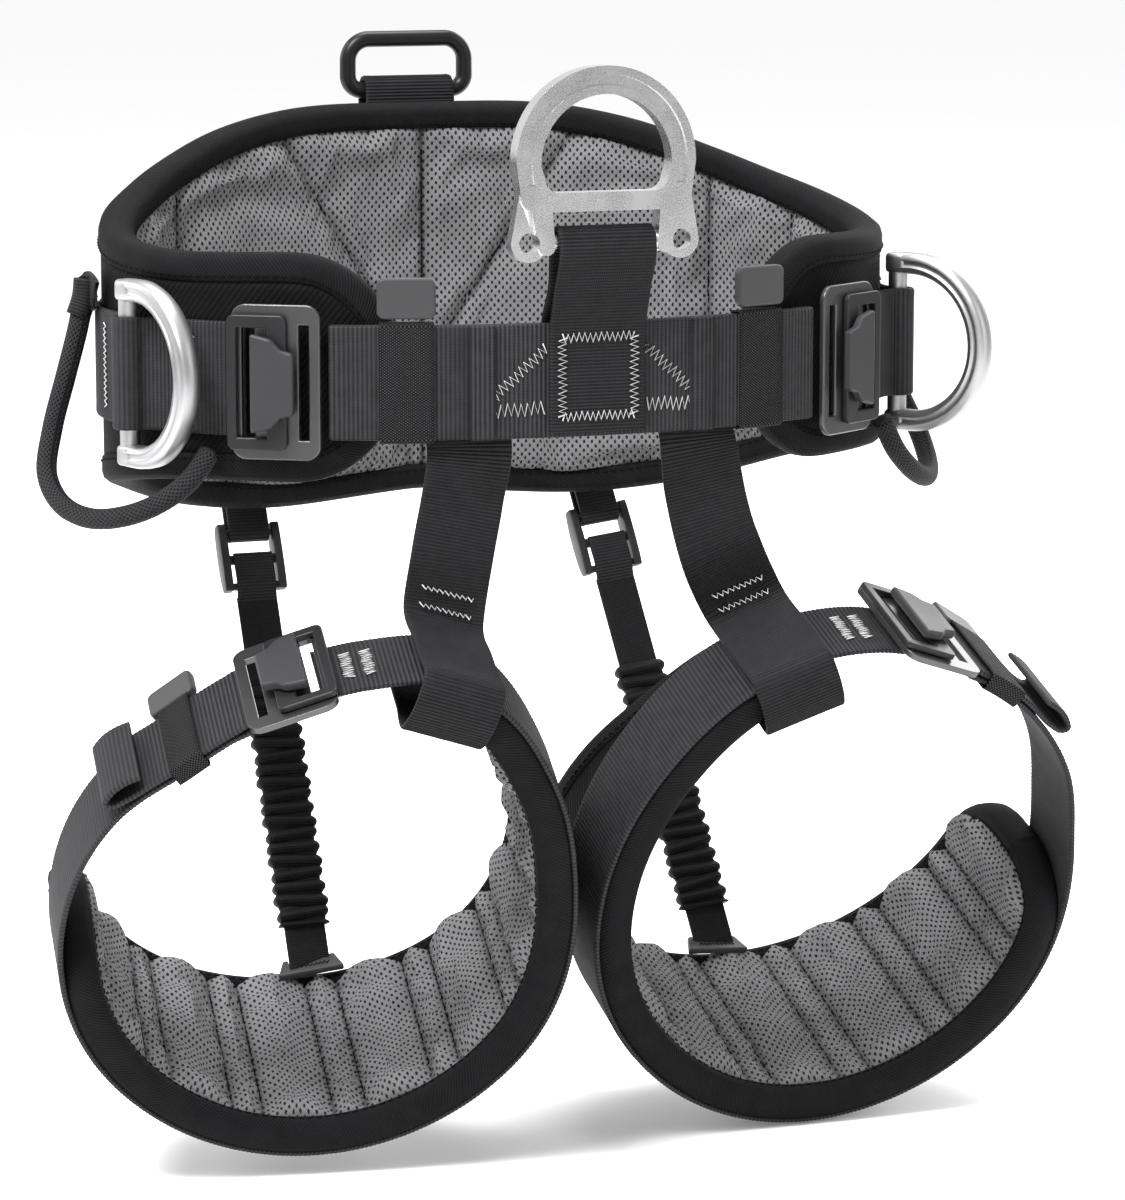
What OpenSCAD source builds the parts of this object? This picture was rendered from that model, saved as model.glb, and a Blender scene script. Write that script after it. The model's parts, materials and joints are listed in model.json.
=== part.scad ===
// Tree climbing saddle: a padded waist belt, two padded leg loops hung from it on
// risers, a ventral ring, two side rings, a rear ring and four quick buckles.
// Front is -Y, up is +Z and the wearer's right hand side is -X. The origin is the
// centre of the waist ring at the height of the front belt.

/* [Waist pad] */
// Half width of the waist ring, measured at the middle of the padding
waist_rx = 160; // [150:1:180]
// Half depth of the waist ring, measured at the middle of the padding
waist_ry = 104; // [95:1:120]
// Height of the top edge above the belt line at the middle of the back
pad_top = 95; // [85:1:105]
// Depth of the bottom edge below the belt line at the middle of the back
pad_drop = 72; // [60:1:80]
// Thickness of the foam in all pads
foam = 8; // [6:0.5:9]
// Angle round the waist, from the back, at which each wing ends
wing_end = 153; // [148:1:156]
// Width of the sewn edge binding
binding = 11; // [9:0.5:12]

/* [Webbing] */
// Width of the belt webbing
belt_w = 45; // [43:1:46]
// Thickness of the load bearing webbing
web = 2.2; // [1.8:0.1:2.4]
// Width of the riser webbing that joins a leg loop to the belt
riser_w = 34; // [30:1:36]
// Width of the leg loop webbing
leg_w = 44; // [40:1:44]
// Width of the rear elastic straps
rear_w = 18; // [16:1:20]

/* [Rings] */
// Half width of the ventral ring at its arch
ventral_r = 37; // [35:1:40]
// Thickness of the forged ventral ring
ventral_t = 8; // [7:0.5:9]
// Radius of the accessory hole in each ear of the ventral ring
ear_hole_r = 4; // [3.5:0.1:4.5]
// Radius of the bar stock of a side ring
side_bar_r = 5; // [4:0.5:5.5]
// Radius from the middle of a side ring's arch to the centre of its stock
side_arch_r = 33; // [30:1:34]
// Angle at which the side ring on +X stands away from the belt
side_ring_open = 50; // [30:1:60]
// Width of the rear ring, outside to outside
rear_ring_w = 60; // [58:1:64]
// Height of the rear ring, outside to outside
rear_ring_h = 29; // [26:1:32]
// Radius of the bar stock of the rear ring
rear_bar_r = 3.5; // [3:0.1:4]

/* [Leg loops] */
// Size of both leg loops against the one drawn in the Hidden section
leg_size = 1; // [0.97:0.01:1.02]
// Sideways place of the centre of the loop on -X
left_leg_x = 110; // [110:1:114]
// Sideways place of the centre of the loop on +X
right_leg_x = 110; // [110:1:116]
// How far a leg loop's centre is in front of the waist centre
leg_y = 95; // [88:1:100]
// How far a leg loop's centre is below the belt line
leg_z = 197; // [190:1:202]
// Angle by which the thigh axis dips towards the front
leg_dip = 20; // [15:1:28]
// Angle by which the thigh axis of the loop on -X turns outwards
left_leg_splay = 9; // [4:1:9]
// Angle by which the thigh axis of the loop on +X turns outwards
right_leg_splay = 0; // [-2:1:4]
// Radius of a gear loop's tube
gear_r = 4.3; // [3.5:0.1:4.5]

/* [Hidden] */
$fn = 64;
fit = 0.4;
half_foam = foam / 2 + 0.1;
skin = 1.6;
face = half_foam + 0.3 + skin;
pad_step = 5;
end_round = 16;
wing_top = 49;
wing_drop = 41;
top_keys = [[0, pad_top], [20, pad_top - 1], [35, pad_top - 8], [50, pad_top - 20],
    [65, wing_top + 15], [90, wing_top + 3], [112, wing_top - 1], [135, wing_top], [180, wing_top]];
drop_keys = [[0, -pad_drop], [25, -pad_drop - 4], [45, -pad_drop + 2], [70, -wing_drop - 14],
    [95, -wing_drop - 5], [120, -wing_drop], [180, -wing_drop]];

under_d = face + fit + web / 2;
strap_d = under_d + web + fit;
tail_d = strap_d + web + fit;
bridge_d = tail_d + 0.2;
keeper_wall = 1.2;
plate = 2.6;
frame_d = tail_d;
buckle_phi = 135;
keeper_phi = 154;
keeper_span = 7.6;
frame_w = 36;
frame_h = belt_w + 16;

ring_y = -(waist_ry + 22);
ring_z = 54.5;
ventral_bar_r = 4;
ventral_arch = 31.5;
bar_gap = 0.6;

side_phi = 106;
side_d = face + 7.6;
side_pin_r = 4;

rear_y = waist_ry + 15;
rear_z = pad_top + 5;

// Outline of each leg loop at the middle of its padding: [angle, radius], the
// angle running from 0 at the inner thigh through 90 at the top
left_leg_outline = [[-180, 93], [-135, 105], [-90, 111], [-45, 106], [0, 94], [30, 96], [60, 102],
    [78, 92], [97, 83], [130, 77], [153, 85]];
right_leg_outline = [[-180, 95], [-135, 113], [-90, 119], [-45, 109], [0, 96], [30, 91], [60, 92],
    [90, 91], [115, 88], [140, 90], [160, 93]];

// Where the riser, the buckle, the keeper and the rear strap sit on each leg loop
left_leg_places = [62, 98, 129, -82];
right_leg_places = [68, 104, 126, -88];
leg_near = leg_w / 2;
near_keys = [[-180, leg_near - 4], [-150, leg_near], [40, leg_near], [70, leg_near]];
far_keys = [[-180, -50], [-160, -64], [-130, -80], [-90, -88], [-50, -76], [-15, -61],
    [15, -43], [40, -29], [70, -23]];
leg_pad_to = -172;
leg_under = face + fit + web / 2;
leg_tail = leg_under + web + fit;
leg_frame_off = leg_under + web / 2 + 0.5;
riser_x = 48;
riser_y = -(waist_ry + 1);
riser_z = -27;

gear_route = [[-171, 14, 32], [-174, 14, 16], [-180, 13, -5], [-187, 10, -27], [-192, 0, -44],
    [-190, -14, -54], [-183, -30, -58], [-173, -45, -56], [-162, -57, -50], [-151, -66, -40], [-143, -71, -27]];

rear_from = [-80, 102.8, -78];

// ---- Curves -------------------------------------------------------------

function unit(v) = v / norm(v);

function key_index(keys, x, i = 0) =
    (i >= len(keys) - 2 || x < keys[i + 1][0]) ? i : key_index(keys, x, i + 1);

function key_slope(keys, i) =
    let(a = max(i - 1, 0), b = min(i + 1, len(keys) - 1))
    (keys[b][1] - keys[a][1]) / (keys[b][0] - keys[a][0]);

// Smooth curve through [x, value] keys
function curve_at(keys, x) =
    let(i = key_index(keys, x), p = keys[i], q = keys[i + 1], h = q[0] - p[0], s = (x - p[0]) / h,
        m = key_slope(keys, i) * h, n = key_slope(keys, i + 1) * h)
    (2 * s^3 - 3 * s^2 + 1) * p[1] + (s^3 - 2 * s^2 + s) * m
    + (3 * s^2 - 2 * s^3) * q[1] + (s^3 - s^2) * n;

// Point on a route through the listed points, at u from 0 to len(route) - 1
function route_at(route, u) =
    let(last = len(route) - 1, i = min(floor(u), last - 1), s = u - i,
        a = route[max(i - 1, 0)], b = route[i], c = route[i + 1], d = route[min(i + 2, last)])
    ((2 * b) + (c - a) * s + (2 * a - 5 * b + 4 * c - d) * s^2 + (3 * b - a - 3 * c + d) * s^3) / 2;

function smooth_route(route, steps) =
    [for (k = [0:(len(route) - 1) * steps]) route_at(route, k / steps)];

// ---- Lofted solids ------------------------------------------------------

function ring_area(r) = [for (k = [0:2]) 0] + sum_cross(r, len(r) - 1);
function sum_cross(r, j) =
    j < 0 ? [0, 0, 0] : cross(r[j] - r[0], r[(j + 1) % len(r)] - r[0]) + sum_cross(r, j - 1);

// Solid through rings of equal point count; closed joins the last ring to the first
module loft(rings, closed = false) {
    n = len(rings);
    m = len(rings[0]);
    turn = ring_area(rings[0]) * (rings[1][0] - rings[0][0]) > 0;
    sides = [for (i = [0:closed ? n - 1 : n - 2]) for (j = [0:m - 1])
        let(a = i * m + j, b = i * m + (j + 1) % m, k = ((i + 1) % n) * m,
            c = k + (j + 1) % m, d = k + j)
        each [[a, b, c], [a, c, d]]];
    caps = closed ? [] : [for (j = [1:m - 2])
        each [[0, j + 1, j], [(n - 1) * m, (n - 1) * m + j, (n - 1) * m + j + 1]]];
    faces = concat(sides, caps);
    polyhedron([for (r = rings) each r],
        turn ? [for (f = faces) [f[2], f[1], f[0]]] : faces);
}

function tangent(path, i) = unit(path[min(i + 1, len(path) - 1)] - path[max(i - 1, 0)]);

// Flat webbing along a path; across gives the direction of its width at each point
module webbing(path, across, width, thick = web) {
    loft([for (i = [0:len(path) - 1])
        let(w = unit(across[i]) * width / 2, n = unit(cross(tangent(path, i), w)) * thick / 2)
        [path[i] + w + n, path[i] - w + n, path[i] - w - n, path[i] + w - n]]);
}

// Round tube along a path; side is any direction never along the path
module tube(path, radius, side, sides = 8) {
    loft([for (i = [0:len(path) - 1])
        let(t = tangent(path, i), a = unit(cross(t, side)), b = cross(t, a))
        [for (k = [0:sides - 1])
            path[i] + radius * (cos(k * 360 / sides) * a + sin(k * 360 / sides) * b)]]);
}

// Moves a closed outline of [angle, height] points inwards; mm_per gives mm per degree
function inset(outline, by, mm_per) =
    let(n = len(outline)) [for (i = [0:n - 1])
        let(p = outline[i], k = mm_per(p[0]),
            step = outline[(i + 1) % n] - outline[(i + n - 1) % n],
            u = unit([step[0] * k, step[1]]))
        [p[0] + by * u[1] / k, p[1] - by * u[0]]];

// One layer of a pad: place maps [angle, height] and an offset to a point
module pad_layer(outline, place, mm_per, low, high, by) {
    o = inset(outline, by, mm_per);
    n = len(o);
    loft([for (i = [0:n / 2 - 1])
        [place(o[i], low), place(o[n - 1 - i], low), place(o[n - 1 - i], high), place(o[i], high)]]);
}

module pad_binding(outline, place, mm_per) {
    o = inset(outline, binding, mm_per);
    loft([for (i = [0:len(o) - 1])
        [place(outline[i], -face - 0.8), place(outline[i], face),
            place(o[i], face), place(o[i], -face - 0.8)]], closed = true);
}

// ---- Plates and frames --------------------------------------------------

module rounded_plate(w, h, r) {
    square([w - 2 * r, h], center = true);
    square([w, h - 2 * r], center = true);
    for (x = [-1, 1], y = [-1, 1]) translate([x * (w / 2 - r), y * (h / 2 - r)]) circle(r);
}

// Extrudes a drawing of X and Z outwards, which is -Y
module outwards(thick) rotate([90, 0, 0]) linear_extrude(thick) children();

module buckle_frame(h) {
    color([0.22, 0.22, 0.23]) outwards(plate) difference() {
        rounded_plate(frame_w, h, 6);
        translate([-11, 0]) square([5, h - 16], center = true);
        translate([11.5, 0]) square([4, h - 16], center = true);
    }
}

module buckle_hook(h) {
    color([0.3, 0.3, 0.31]) translate([0, -plate - fit, 0]) outwards(plate) difference() {
        translate([-7, 0]) rounded_plate(24, h - 8, 3);
        translate([-9, 0]) square([12, h - 18], center = true);
    }
}

module buckle_cover(h) {
    top = h / 2 - 11;
    color([0.18, 0.18, 0.19]) translate([0, -2 * plate - 2 * fit, 0]) outwards(4)
        polygon([[-8.5, top], [0, top - 2], [3.5, top - 6], [9, top - 7.5],
            [9, 7.5 - top], [3.5, 6 - top], [0, 2 - top], [-8.5, -top]]);
}

// ---- Waist --------------------------------------------------------------

function waist_normal(phi) = unit([sin(phi) / waist_rx, cos(phi) / waist_ry]);

function waist_point(phi, d, z) =
    let(n = waist_normal(phi)) [waist_rx * sin(phi) + d * n[0], waist_ry * cos(phi) + d * n[1], z];

waist_mm = function(phi) norm([waist_rx * cos(phi), waist_ry * sin(phi)]) * PI / 180;
on_waist = function(q, d) waist_point(q[0], d, q[1]);

function end_factor(phi) =
    let(u = max(0, (abs(phi) - wing_end + end_round) / end_round)) sqrt(1 - 0.96 * u * u);

function pad_edge(keys, phi) =
    let(mid = (wing_top - wing_drop) / 2) mid + (curve_at(keys, abs(phi)) - mid) * end_factor(phi);

wing_columns = [wing_end, wing_end - 1, wing_end - 3, wing_end - 6, wing_end - 10];
pad_columns = concat([for (p = wing_columns) -p], [for (p = [-135:pad_step:135]) p],
    [for (k = [len(wing_columns) - 1:-1:0]) wing_columns[k]]);
waist_outline = concat([for (p = pad_columns) [p, pad_edge(top_keys, p)]],
    [for (k = [len(pad_columns) - 1:-1:0]) [pad_columns[k], pad_edge(drop_keys, pad_columns[k])]]);

module waist_outer_shell() {
    color([0.08, 0.08, 0.09])
        pad_layer(waist_outline, on_waist, waist_mm, half_foam + 0.3, face, binding + 0.5);
}

module waist_foam_core() {
    color([0.3, 0.3, 0.31])
        pad_layer(waist_outline, on_waist, waist_mm, -half_foam, half_foam, binding + 0.5);
}

module waist_mesh_liner() {
    color([0.42, 0.42, 0.43])
        pad_layer(waist_outline, on_waist, waist_mm, -face, -half_foam - 0.3, binding + 0.5);
}

module waist_edge_binding() {
    color([0.05, 0.05, 0.05]) pad_binding(waist_outline, on_waist, waist_mm);
}

// Belt webbing from one angle to another at a distance from the pad's middle
module belt(from, to, d, width = belt_w) {
    path = [for (k = [0:ceil(abs(to - from) / 4)])
        waist_point(from + (to - from) * k / ceil(abs(to - from) / 4), d, 0)];
    webbing(path, [for (p = path) [0, 0, 1]], width);
}

module back_belt_webbing() {
    color([0.1, 0.1, 0.11]) belt(-72, 72, under_d);
}

module front_bridge_webbing() {
    color([0.12, 0.12, 0.13]) belt(166, 194, bridge_d);
}

module at_waist(phi, d) {
    n = waist_normal(phi);
    translate(waist_point(phi, d, 0)) rotate([0, 0, atan2(n[1], n[0]) + 90]) children();
}

// Webbing from behind the side ring to the buckle, lifted over the ring's pin
module side_webbing() {
    r = side_pin_r + bar_gap + web / 2;
    pin = waist_point(-side_phi, side_d, 0);
    n = waist_normal(-side_phi);
    out = [n[0], n[1], 0];
    along = [-n[1], n[0], 0];
    path = concat([for (p = [-76:-4:-side_phi + 7]) waist_point(p, under_d, 0)],
        [for (a = [-15:30:195]) pin + r * (sin(a) * out + cos(a) * along * -1)],
        [for (p = [-side_phi - 7:-4:-129]) waist_point(p, under_d, 0)]);
    color([0.1, 0.1, 0.11]) webbing(path, [for (p = path) [0, 0, 1]], belt_w);
}

// Pin, two end blocks and an arch; turn swings it about its pin away from the belt
module side_ring(turn) {
    lean = 6;
    reach = 8;
    color([0.78, 0.78, 0.79]) at_waist(-side_phi, side_d) rotate([0, 0, -lean - turn]) {
        cylinder(h = 2 * side_arch_r, r = side_pin_r, center = true);
        for (s = [-1, 1]) translate([0, 0, s * side_arch_r]) {
            sphere(side_bar_r + 0.6);
            rotate([0, 90, 0]) cylinder(h = reach, r = side_bar_r);
        }
        translate([reach, 0, 0]) rotate([90, 0, 0]) rotate([0, 0, -90])
            rotate_extrude(angle = 180) translate([side_arch_r, 0]) circle(side_bar_r);
    }
}

// Belt strap: from the front centre to the buckle, then back over itself to its tail
module belt_strap() {
    fold = 143.6;
    low = [for (p = [-179.6:4:-fold]) waist_point(p, strap_d, 0)];
    turn = [for (a = [0:45:180])
        waist_point(-fold + 0.5 * sin(a), (strap_d + tail_d) / 2 - cos(a) * (tail_d - strap_d) / 2, 0)];
    high = [for (p = [-fold - 3:-4:-163]) waist_point(p, tail_d, 0)];
    path = concat(low, turn, high);
    color([0.1, 0.1, 0.11]) webbing(path, [for (p = path) [0, 0, 1]], belt_w);
}

// Elastic sleeve round the strap and its tail
module belt_keeper() {
    low = strap_d - web / 2 - 0.7;
    high = tail_d + web / 2 + 0.8;
    h = belt_w / 2 + 0.8;
    color([0.13, 0.13, 0.14]) difference() {
        keeper_block(low - keeper_wall, high + keeper_wall, h + keeper_wall, keeper_span / 2);
        keeper_block(low, high, h, keeper_span / 2 + 1);
    }
}

module keeper_block(low, high, h, span) {
    loft([for (k = [0:6]) let(p = -keeper_phi - span + k * span / 3)
        [waist_point(p, low, -h), waist_point(p, low, h), waist_point(p, high, h), waist_point(p, high, -h)]]);
}

module keeper_clip() {
    color([0.2, 0.2, 0.21]) at_waist(-keeper_phi, tail_d)
        translate([0, 2.2, belt_w / 2 + 10.6]) outwards(4.4) rounded_plate(23, 16, 3);
}

module gear_loop() {
    color([0.07, 0.07, 0.08]) tube(smooth_route(gear_route, 3), gear_r, [0.3, 0.2, 1]);
}

// ---- Ventral ring and its loop ------------------------------------------

module ventral_loop_webbing() {
    width = 40;
    r = ventral_bar_r + bar_gap + web / 2;
    front = -(waist_ry + bridge_d + web + fit);
    back = -(waist_ry + under_d - 0.9);
    path = concat(
        [[0, front, -belt_w / 2 + 2], [0, front, 0], [0, front, 18], [0, (front + ring_y) / 2 - 2, 34]],
        [for (a = [0:30:180]) [0, ring_y - r * cos(a), ring_z + r * sin(a)]],
        [[0, (back + ring_y) / 2, 37], [0, back, 23], [0, back, 0], [0, back, -belt_w / 2 + 2]]);
    color([0.1, 0.1, 0.11]) webbing(path, [for (p = path) [1, 0, 0]], width);
}

function arc(centre, r, from, to, step = 5) = [for (a = [from:step:to]) centre + r * [cos(a), sin(a)]];

// Forged D ring; its origin is the middle of the bar that carries the webbing
module ventral_d_ring() {
    ear = [31.5, 0.5];
    centre = [0, ventral_arch];
    groove = 1.1;
    frame_outline = concat(arc(centre, ventral_r, 0, 180), arc([8 - ventral_r, 18.7], 6.3, 180, 270, 15),
        arc([ventral_r - 8, 18.7], 6.3, 270, 360, 15));
    opening_outline = concat(arc([0, 30.5], ventral_r - 10, 0, 180), arc([-19.5, 25.8], 6, 180, 270, 15),
        arc([19.5, 25.8], 6, 270, 360, 15));
    groove_outline = concat(arc(centre, ventral_r - 3.4, -15, 195),
        [for (a = [195:-5:-15]) [0, 30.5] + (ventral_r - 6.6) * [cos(a), sin(a)]]);
    strut_outline = concat(arc([24.6, -1], 3.4, 180, 360, 15), [[31.5, 16], [22.5, 16]]);
    ear_outline = concat(arc(ear, 7.4, 180, 360, 10), [[35.4, 20], [30, 22], [24, 14]]);
    color([0.8, 0.8, 0.81]) translate([0, ring_y, ring_z]) {
        difference() {
            union() {
                translate([0, ventral_t / 2, 0]) outwards(ventral_t) polygon(frame_outline);
                for (s = [0, 1]) mirror([s, 0, 0]) {
                    translate([0, ventral_t / 2, 0]) outwards(ventral_t) polygon(strut_outline);
                    translate([0, ventral_t / 2 - 1.4, 0]) outwards(ventral_t - 2.8) polygon(ear_outline);
                }
            }
            translate([0, ventral_t, 0]) outwards(2 * ventral_t) polygon(opening_outline);
            for (s = [-1, 1]) translate([s * ear[0], 0, ear[1]]) rotate([90, 0, 0])
                cylinder(h = 3 * ventral_t, r = ear_hole_r, center = true);
            for (y = [-ventral_t / 2, ventral_t / 2]) translate([0, y + groove, 0]) outwards(2 * groove)
                polygon(groove_outline);
        }
        rotate([0, 90, 0]) cylinder(h = 47, r = ventral_bar_r, center = true);
    }
}

// ---- Rear ring ----------------------------------------------------------

module rear_ring_webbing() {
    r = rear_bar_r + bar_gap + web / 2;
    inner = waist_ry + under_d;
    path = concat(
        [[0, inner, belt_w / 2 + 4], [0, inner, pad_top - 22], [0, rear_y - r - 0.5, pad_top - 6]],
        [for (a = [0:30:180]) [0, rear_y - r * cos(a), rear_z + r * sin(a)]],
        [[0, rear_y + r - 1, pad_top - 8], [0, inner + web + fit, pad_top - 26],
            [0, inner + web + fit, belt_w / 2 + 4]]);
    color([0.1, 0.1, 0.11]) webbing(path, [for (p = path) [1, 0, 0]], 40);
}

module rear_ring() {
    w = rear_ring_w / 2 - rear_bar_r;
    h = rear_ring_h - 2 * rear_bar_r;
    low_bend = 6.2;
    high_bend = 9.5;
    color([0.06, 0.06, 0.06]) translate([0, rear_y, rear_z]) {
        rotate([0, 90, 0]) cylinder(h = 2 * (w - low_bend), r = rear_bar_r, center = true);
        translate([0, 0, h]) rotate([0, 90, 0])
            cylinder(h = 2 * (w - high_bend), r = rear_bar_r, center = true);
        for (s = [0, 180]) rotate([0, 0, s]) {
            translate([w, 0, low_bend]) cylinder(h = h - low_bend - high_bend, r = rear_bar_r);
            translate([w - high_bend, 0, h - high_bend]) rotate([90, 0, 0])
                rotate_extrude(angle = 90) translate([high_bend, 0]) circle(rear_bar_r);
            translate([w - low_bend, 0, low_bend]) rotate([90, 0, 0]) rotate([0, 0, -90])
                rotate_extrude(angle = 90) translate([low_bend, 0]) circle(rear_bar_r);
        }
    }
}

// ---- Leg loops: the loop on -X; the other is its mirror image ------------

// The loop being made: $leg holds its sideways place, its splay, the places of its
// fittings and its outline
module left_leg() {
    $leg = [left_leg_x, left_leg_splay, left_leg_places, left_leg_outline];
    children();
}

module right_leg() {
    $leg = [right_leg_x, right_leg_splay, right_leg_places, right_leg_outline];
    mirror([1, 0, 0]) children();
}

function riser_t() = $leg[2][0];
function buckle_t() = $leg[2][1];
function keeper_t() = $leg[2][2];
function anchor_t() = $leg[2][3];
function leg_pad_from() = riser_t() - 3;

function leg_radius(t) =
    let(k = $leg[3], last = k[len(k) - 1], turn = (t + 540) % 360 - 180,
        around = concat([[last[0] - 360, last[1]]], k, [[180, k[0][1]], [k[1][0] + 360, k[1][1]]]))
    leg_size * curve_at(around, turn);
function leg_flat(t) = leg_radius(t) * [cos(t), sin(t)];
function leg_normal(t) = let(u = unit(leg_flat(t + 1) - leg_flat(t - 1))) [u[1], -u[0]];

leg_mm = function(t) norm(leg_flat(t + 1) - leg_flat(t - 1)) / 2;
on_leg = function(q, off) let(p = leg_flat(q[0]) + off * leg_normal(q[0])) [p[0], -q[1], p[1]];

// World place of a point in the leg loop's own frame
function leg_world(v) =
    let(y = v[1] * cos(leg_dip) - v[2] * sin(leg_dip), z = v[1] * sin(leg_dip) + v[2] * cos(leg_dip))
    [v[0] * cos($leg[1]) + y * sin($leg[1]) - $leg[0],
        y * cos($leg[1]) - v[0] * sin($leg[1]) - leg_y, z - leg_z];

function leg_world_point(t, off, a) = leg_world(on_leg([t, a], off));

module in_leg() translate([-$leg[0], -leg_y, -leg_z]) rotate([leg_dip, 0, -$leg[1]]) children();

// Places a buckle part: its X runs round the loop, -Y points out and Z is the thigh axis
module at_leg(t, off) {
    n = leg_normal(t);
    translate(on_leg([t, 0], off)) rotate([0, atan2(-n[0], -n[1]), 0]) rotate([90, 0, 0]) children();
}

function leg_end_factor(t) =
    let(u = max(0, (t - leg_pad_from() + 8) / 8, (leg_pad_to + 14 - t) / 14)) sqrt(1 - 0.9 * u * u);

function leg_edge(keys, t) =
    let(mid = (curve_at(near_keys, t) + curve_at(far_keys, t)) / 2)
    mid + (curve_at(keys, t) - mid) * leg_end_factor(t);

function leg_columns() = concat([for (t = [0, 1, 4, 8]) leg_pad_to + t],
    [for (t = [-158:6:leg_pad_from() - 11]) t], [for (t = [8, 4, 1, 0]) leg_pad_from() - t]);

function leg_outline() =
    let(c = leg_columns()) concat([for (t = c) [t, leg_edge(near_keys, t)]],
        [for (k = [len(c) - 1:-1:0]) [c[k], leg_edge(far_keys, c[k])]]);

module leg_outer_shell() {
    color([0.08, 0.08, 0.09]) in_leg()
        pad_layer(leg_outline(), on_leg, leg_mm, half_foam + 0.3, face, binding + 0.5);
}

module leg_foam_core() {
    color([0.3, 0.3, 0.31]) in_leg()
        pad_layer(leg_outline(), on_leg, leg_mm, -half_foam, half_foam, binding + 0.5);
}

module leg_mesh_liner() {
    color([0.42, 0.42, 0.43]) in_leg()
        pad_layer(leg_outline(), on_leg, leg_mm, -face, -half_foam - 0.3, binding + 0.5);
}

module leg_edge_binding() {
    color([0.05, 0.05, 0.05]) in_leg() pad_binding(leg_outline(), on_leg, leg_mm);
}

// Webbing along the pad's outer face, up to the buckle and back over itself to its tail
module leg_strap() {
    fold = buckle_t() + 14 - 360;
    tail = keeper_t() + 14 - 360;
    low = [for (t = [riser_t() - 7:-5:fold + 2]) on_leg([t, 0], leg_under)];
    turn = [for (a = [0:45:180])
        on_leg([fold - 0.7 * sin(a), 0], (leg_under + leg_tail) / 2 - cos(a) * (leg_tail - leg_under) / 2)];
    high = [for (t = [fold + 4:5:tail]) on_leg([t, 0], leg_tail)];
    path = concat(low, turn, high);
    color([0.1, 0.1, 0.11]) in_leg() webbing(path, [for (p = path) [0, 1, 0]], leg_w - 2);
}

module leg_hook_webbing() {
    path = [for (k = [0:8]) on_leg([riser_t() - 6 + k * 4, 0], leg_under)];
    color([0.1, 0.1, 0.11]) in_leg() webbing(path, [for (p = path) [0, 1, 0]], 36);
}

// Riser: from under the belt down to the leg loop, and round it from the outside
module leg_riser() {
    out = leg_under + web + fit + 0.4;
    back = -face - 0.8 - fit - web / 2 - 4.4;
    near = leg_near + 3;
    far = -29;
    round_leg = [for (q = [[out, far], [out, -8], [out, 8], [out, near - 2], [(out + back) / 2 + 4, near + 1.6],
        [(out + back) / 2 - 4, near + 1.6], [back, near - 2], [back, 8], [back, -8], [back, far + 3]])
        leg_world_point(riser_t(), q[0], q[1])];
    top = [-riser_x, riser_y, riser_z];
    drop = smooth_route([top, top + [-3, 0, -20], top + [-8, -2, -42], round_leg[0]], 3);
    path = concat([for (k = [0:len(drop) - 2]) drop[k]], round_leg);
    side_at_leg = leg_world_point(riser_t() - 1, 0, 0) - leg_world_point(riser_t(), 0, 0);
    blend_over = len(drop) - 1;
    color([0.1, 0.1, 0.11]) webbing(path, [for (k = [0:len(path) - 1])
        let(s = min(k / blend_over, 1)) (1 - s) * [1, 0, 0] + s * unit(side_at_leg)], riser_w);
}

module leg_buckle_part() in_leg() at_leg(buckle_t(), leg_frame_off) children();

module leg_keeper() {
    low = leg_under - web / 2 - 0.8;
    high = leg_tail + web / 2 + 0.8;
    h = leg_w / 2;
    color([0.13, 0.13, 0.14]) in_leg() difference() {
        leg_keeper_block(low - keeper_wall, high + keeper_wall, h + keeper_wall, 5.5);
        leg_keeper_block(low, high, h, 7);
    }
}

module leg_keeper_block(low, high, h, span) {
    loft([for (k = [0:6]) let(t = keeper_t() - span + k * span / 3)
        [on_leg([t, -h], low), on_leg([t, h], low), on_leg([t, h], high), on_leg([t, -h], high)]]);
}

module leg_keeper_clip() {
    color([0.2, 0.2, 0.21]) in_leg() at_leg(keeper_t(), leg_tail)
        translate([0, 2.2, -leg_w / 2 - 9.8]) outwards(4.4) rounded_plate(21, 16, 3);
}

// ---- Rear straps ---------------------------------------------------------

function rear_to() = leg_world_point(anchor_t(), -face - 6.9, curve_at(far_keys, anchor_t()) + 4);
function rear_dir() = unit(rear_to() - rear_from);
function rear_across() = unit([1, 0, 0] - rear_dir()[0] * rear_dir());
function rear_point(s, off) = rear_from + s * rear_dir() + off * cross(rear_across(), rear_dir());

module along_rear(s) {
    d = rear_dir();
    translate(rear_from + s * d) rotate([atan2(-d[1], -d[2]) * -1, 0, 0]) rotate([0, asin(-d[0]), 0]) children();
}

// Short webbing that hangs the ladder lock: two strands folded round its top bar
module rear_strap() {
    r = 2.9;
    path = concat([rear_point(-9, -r), rear_point(0, -r), rear_point(9, -r)],
        [for (a = [30:30:150]) rear_point(11 + r * sin(a), -r * cos(a))],
        [rear_point(9, r), rear_point(0, r), rear_point(-9, r)]);
    color([0.1, 0.1, 0.11]) webbing(path, [for (p = path) rear_across()], rear_w);
}

module ladder_lock() {
    w = rear_w + 9;
    color([0.15, 0.15, 0.16]) along_rear(22) {
        for (s = [-1, 1]) translate([s * (w / 2 - 1.9), 0, 0]) cube([3.8, 5, 30], center = true);
        translate([0, 0, 11]) rotate([0, 90, 0]) cylinder(h = w - 4, r = 1.2, center = true);
        translate([0, 0, -1]) cube([w - 4, 3, 4], center = true);
        translate([0, 0, -13]) cube([w - 4, 3, 3], center = true);
    }
}

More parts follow.
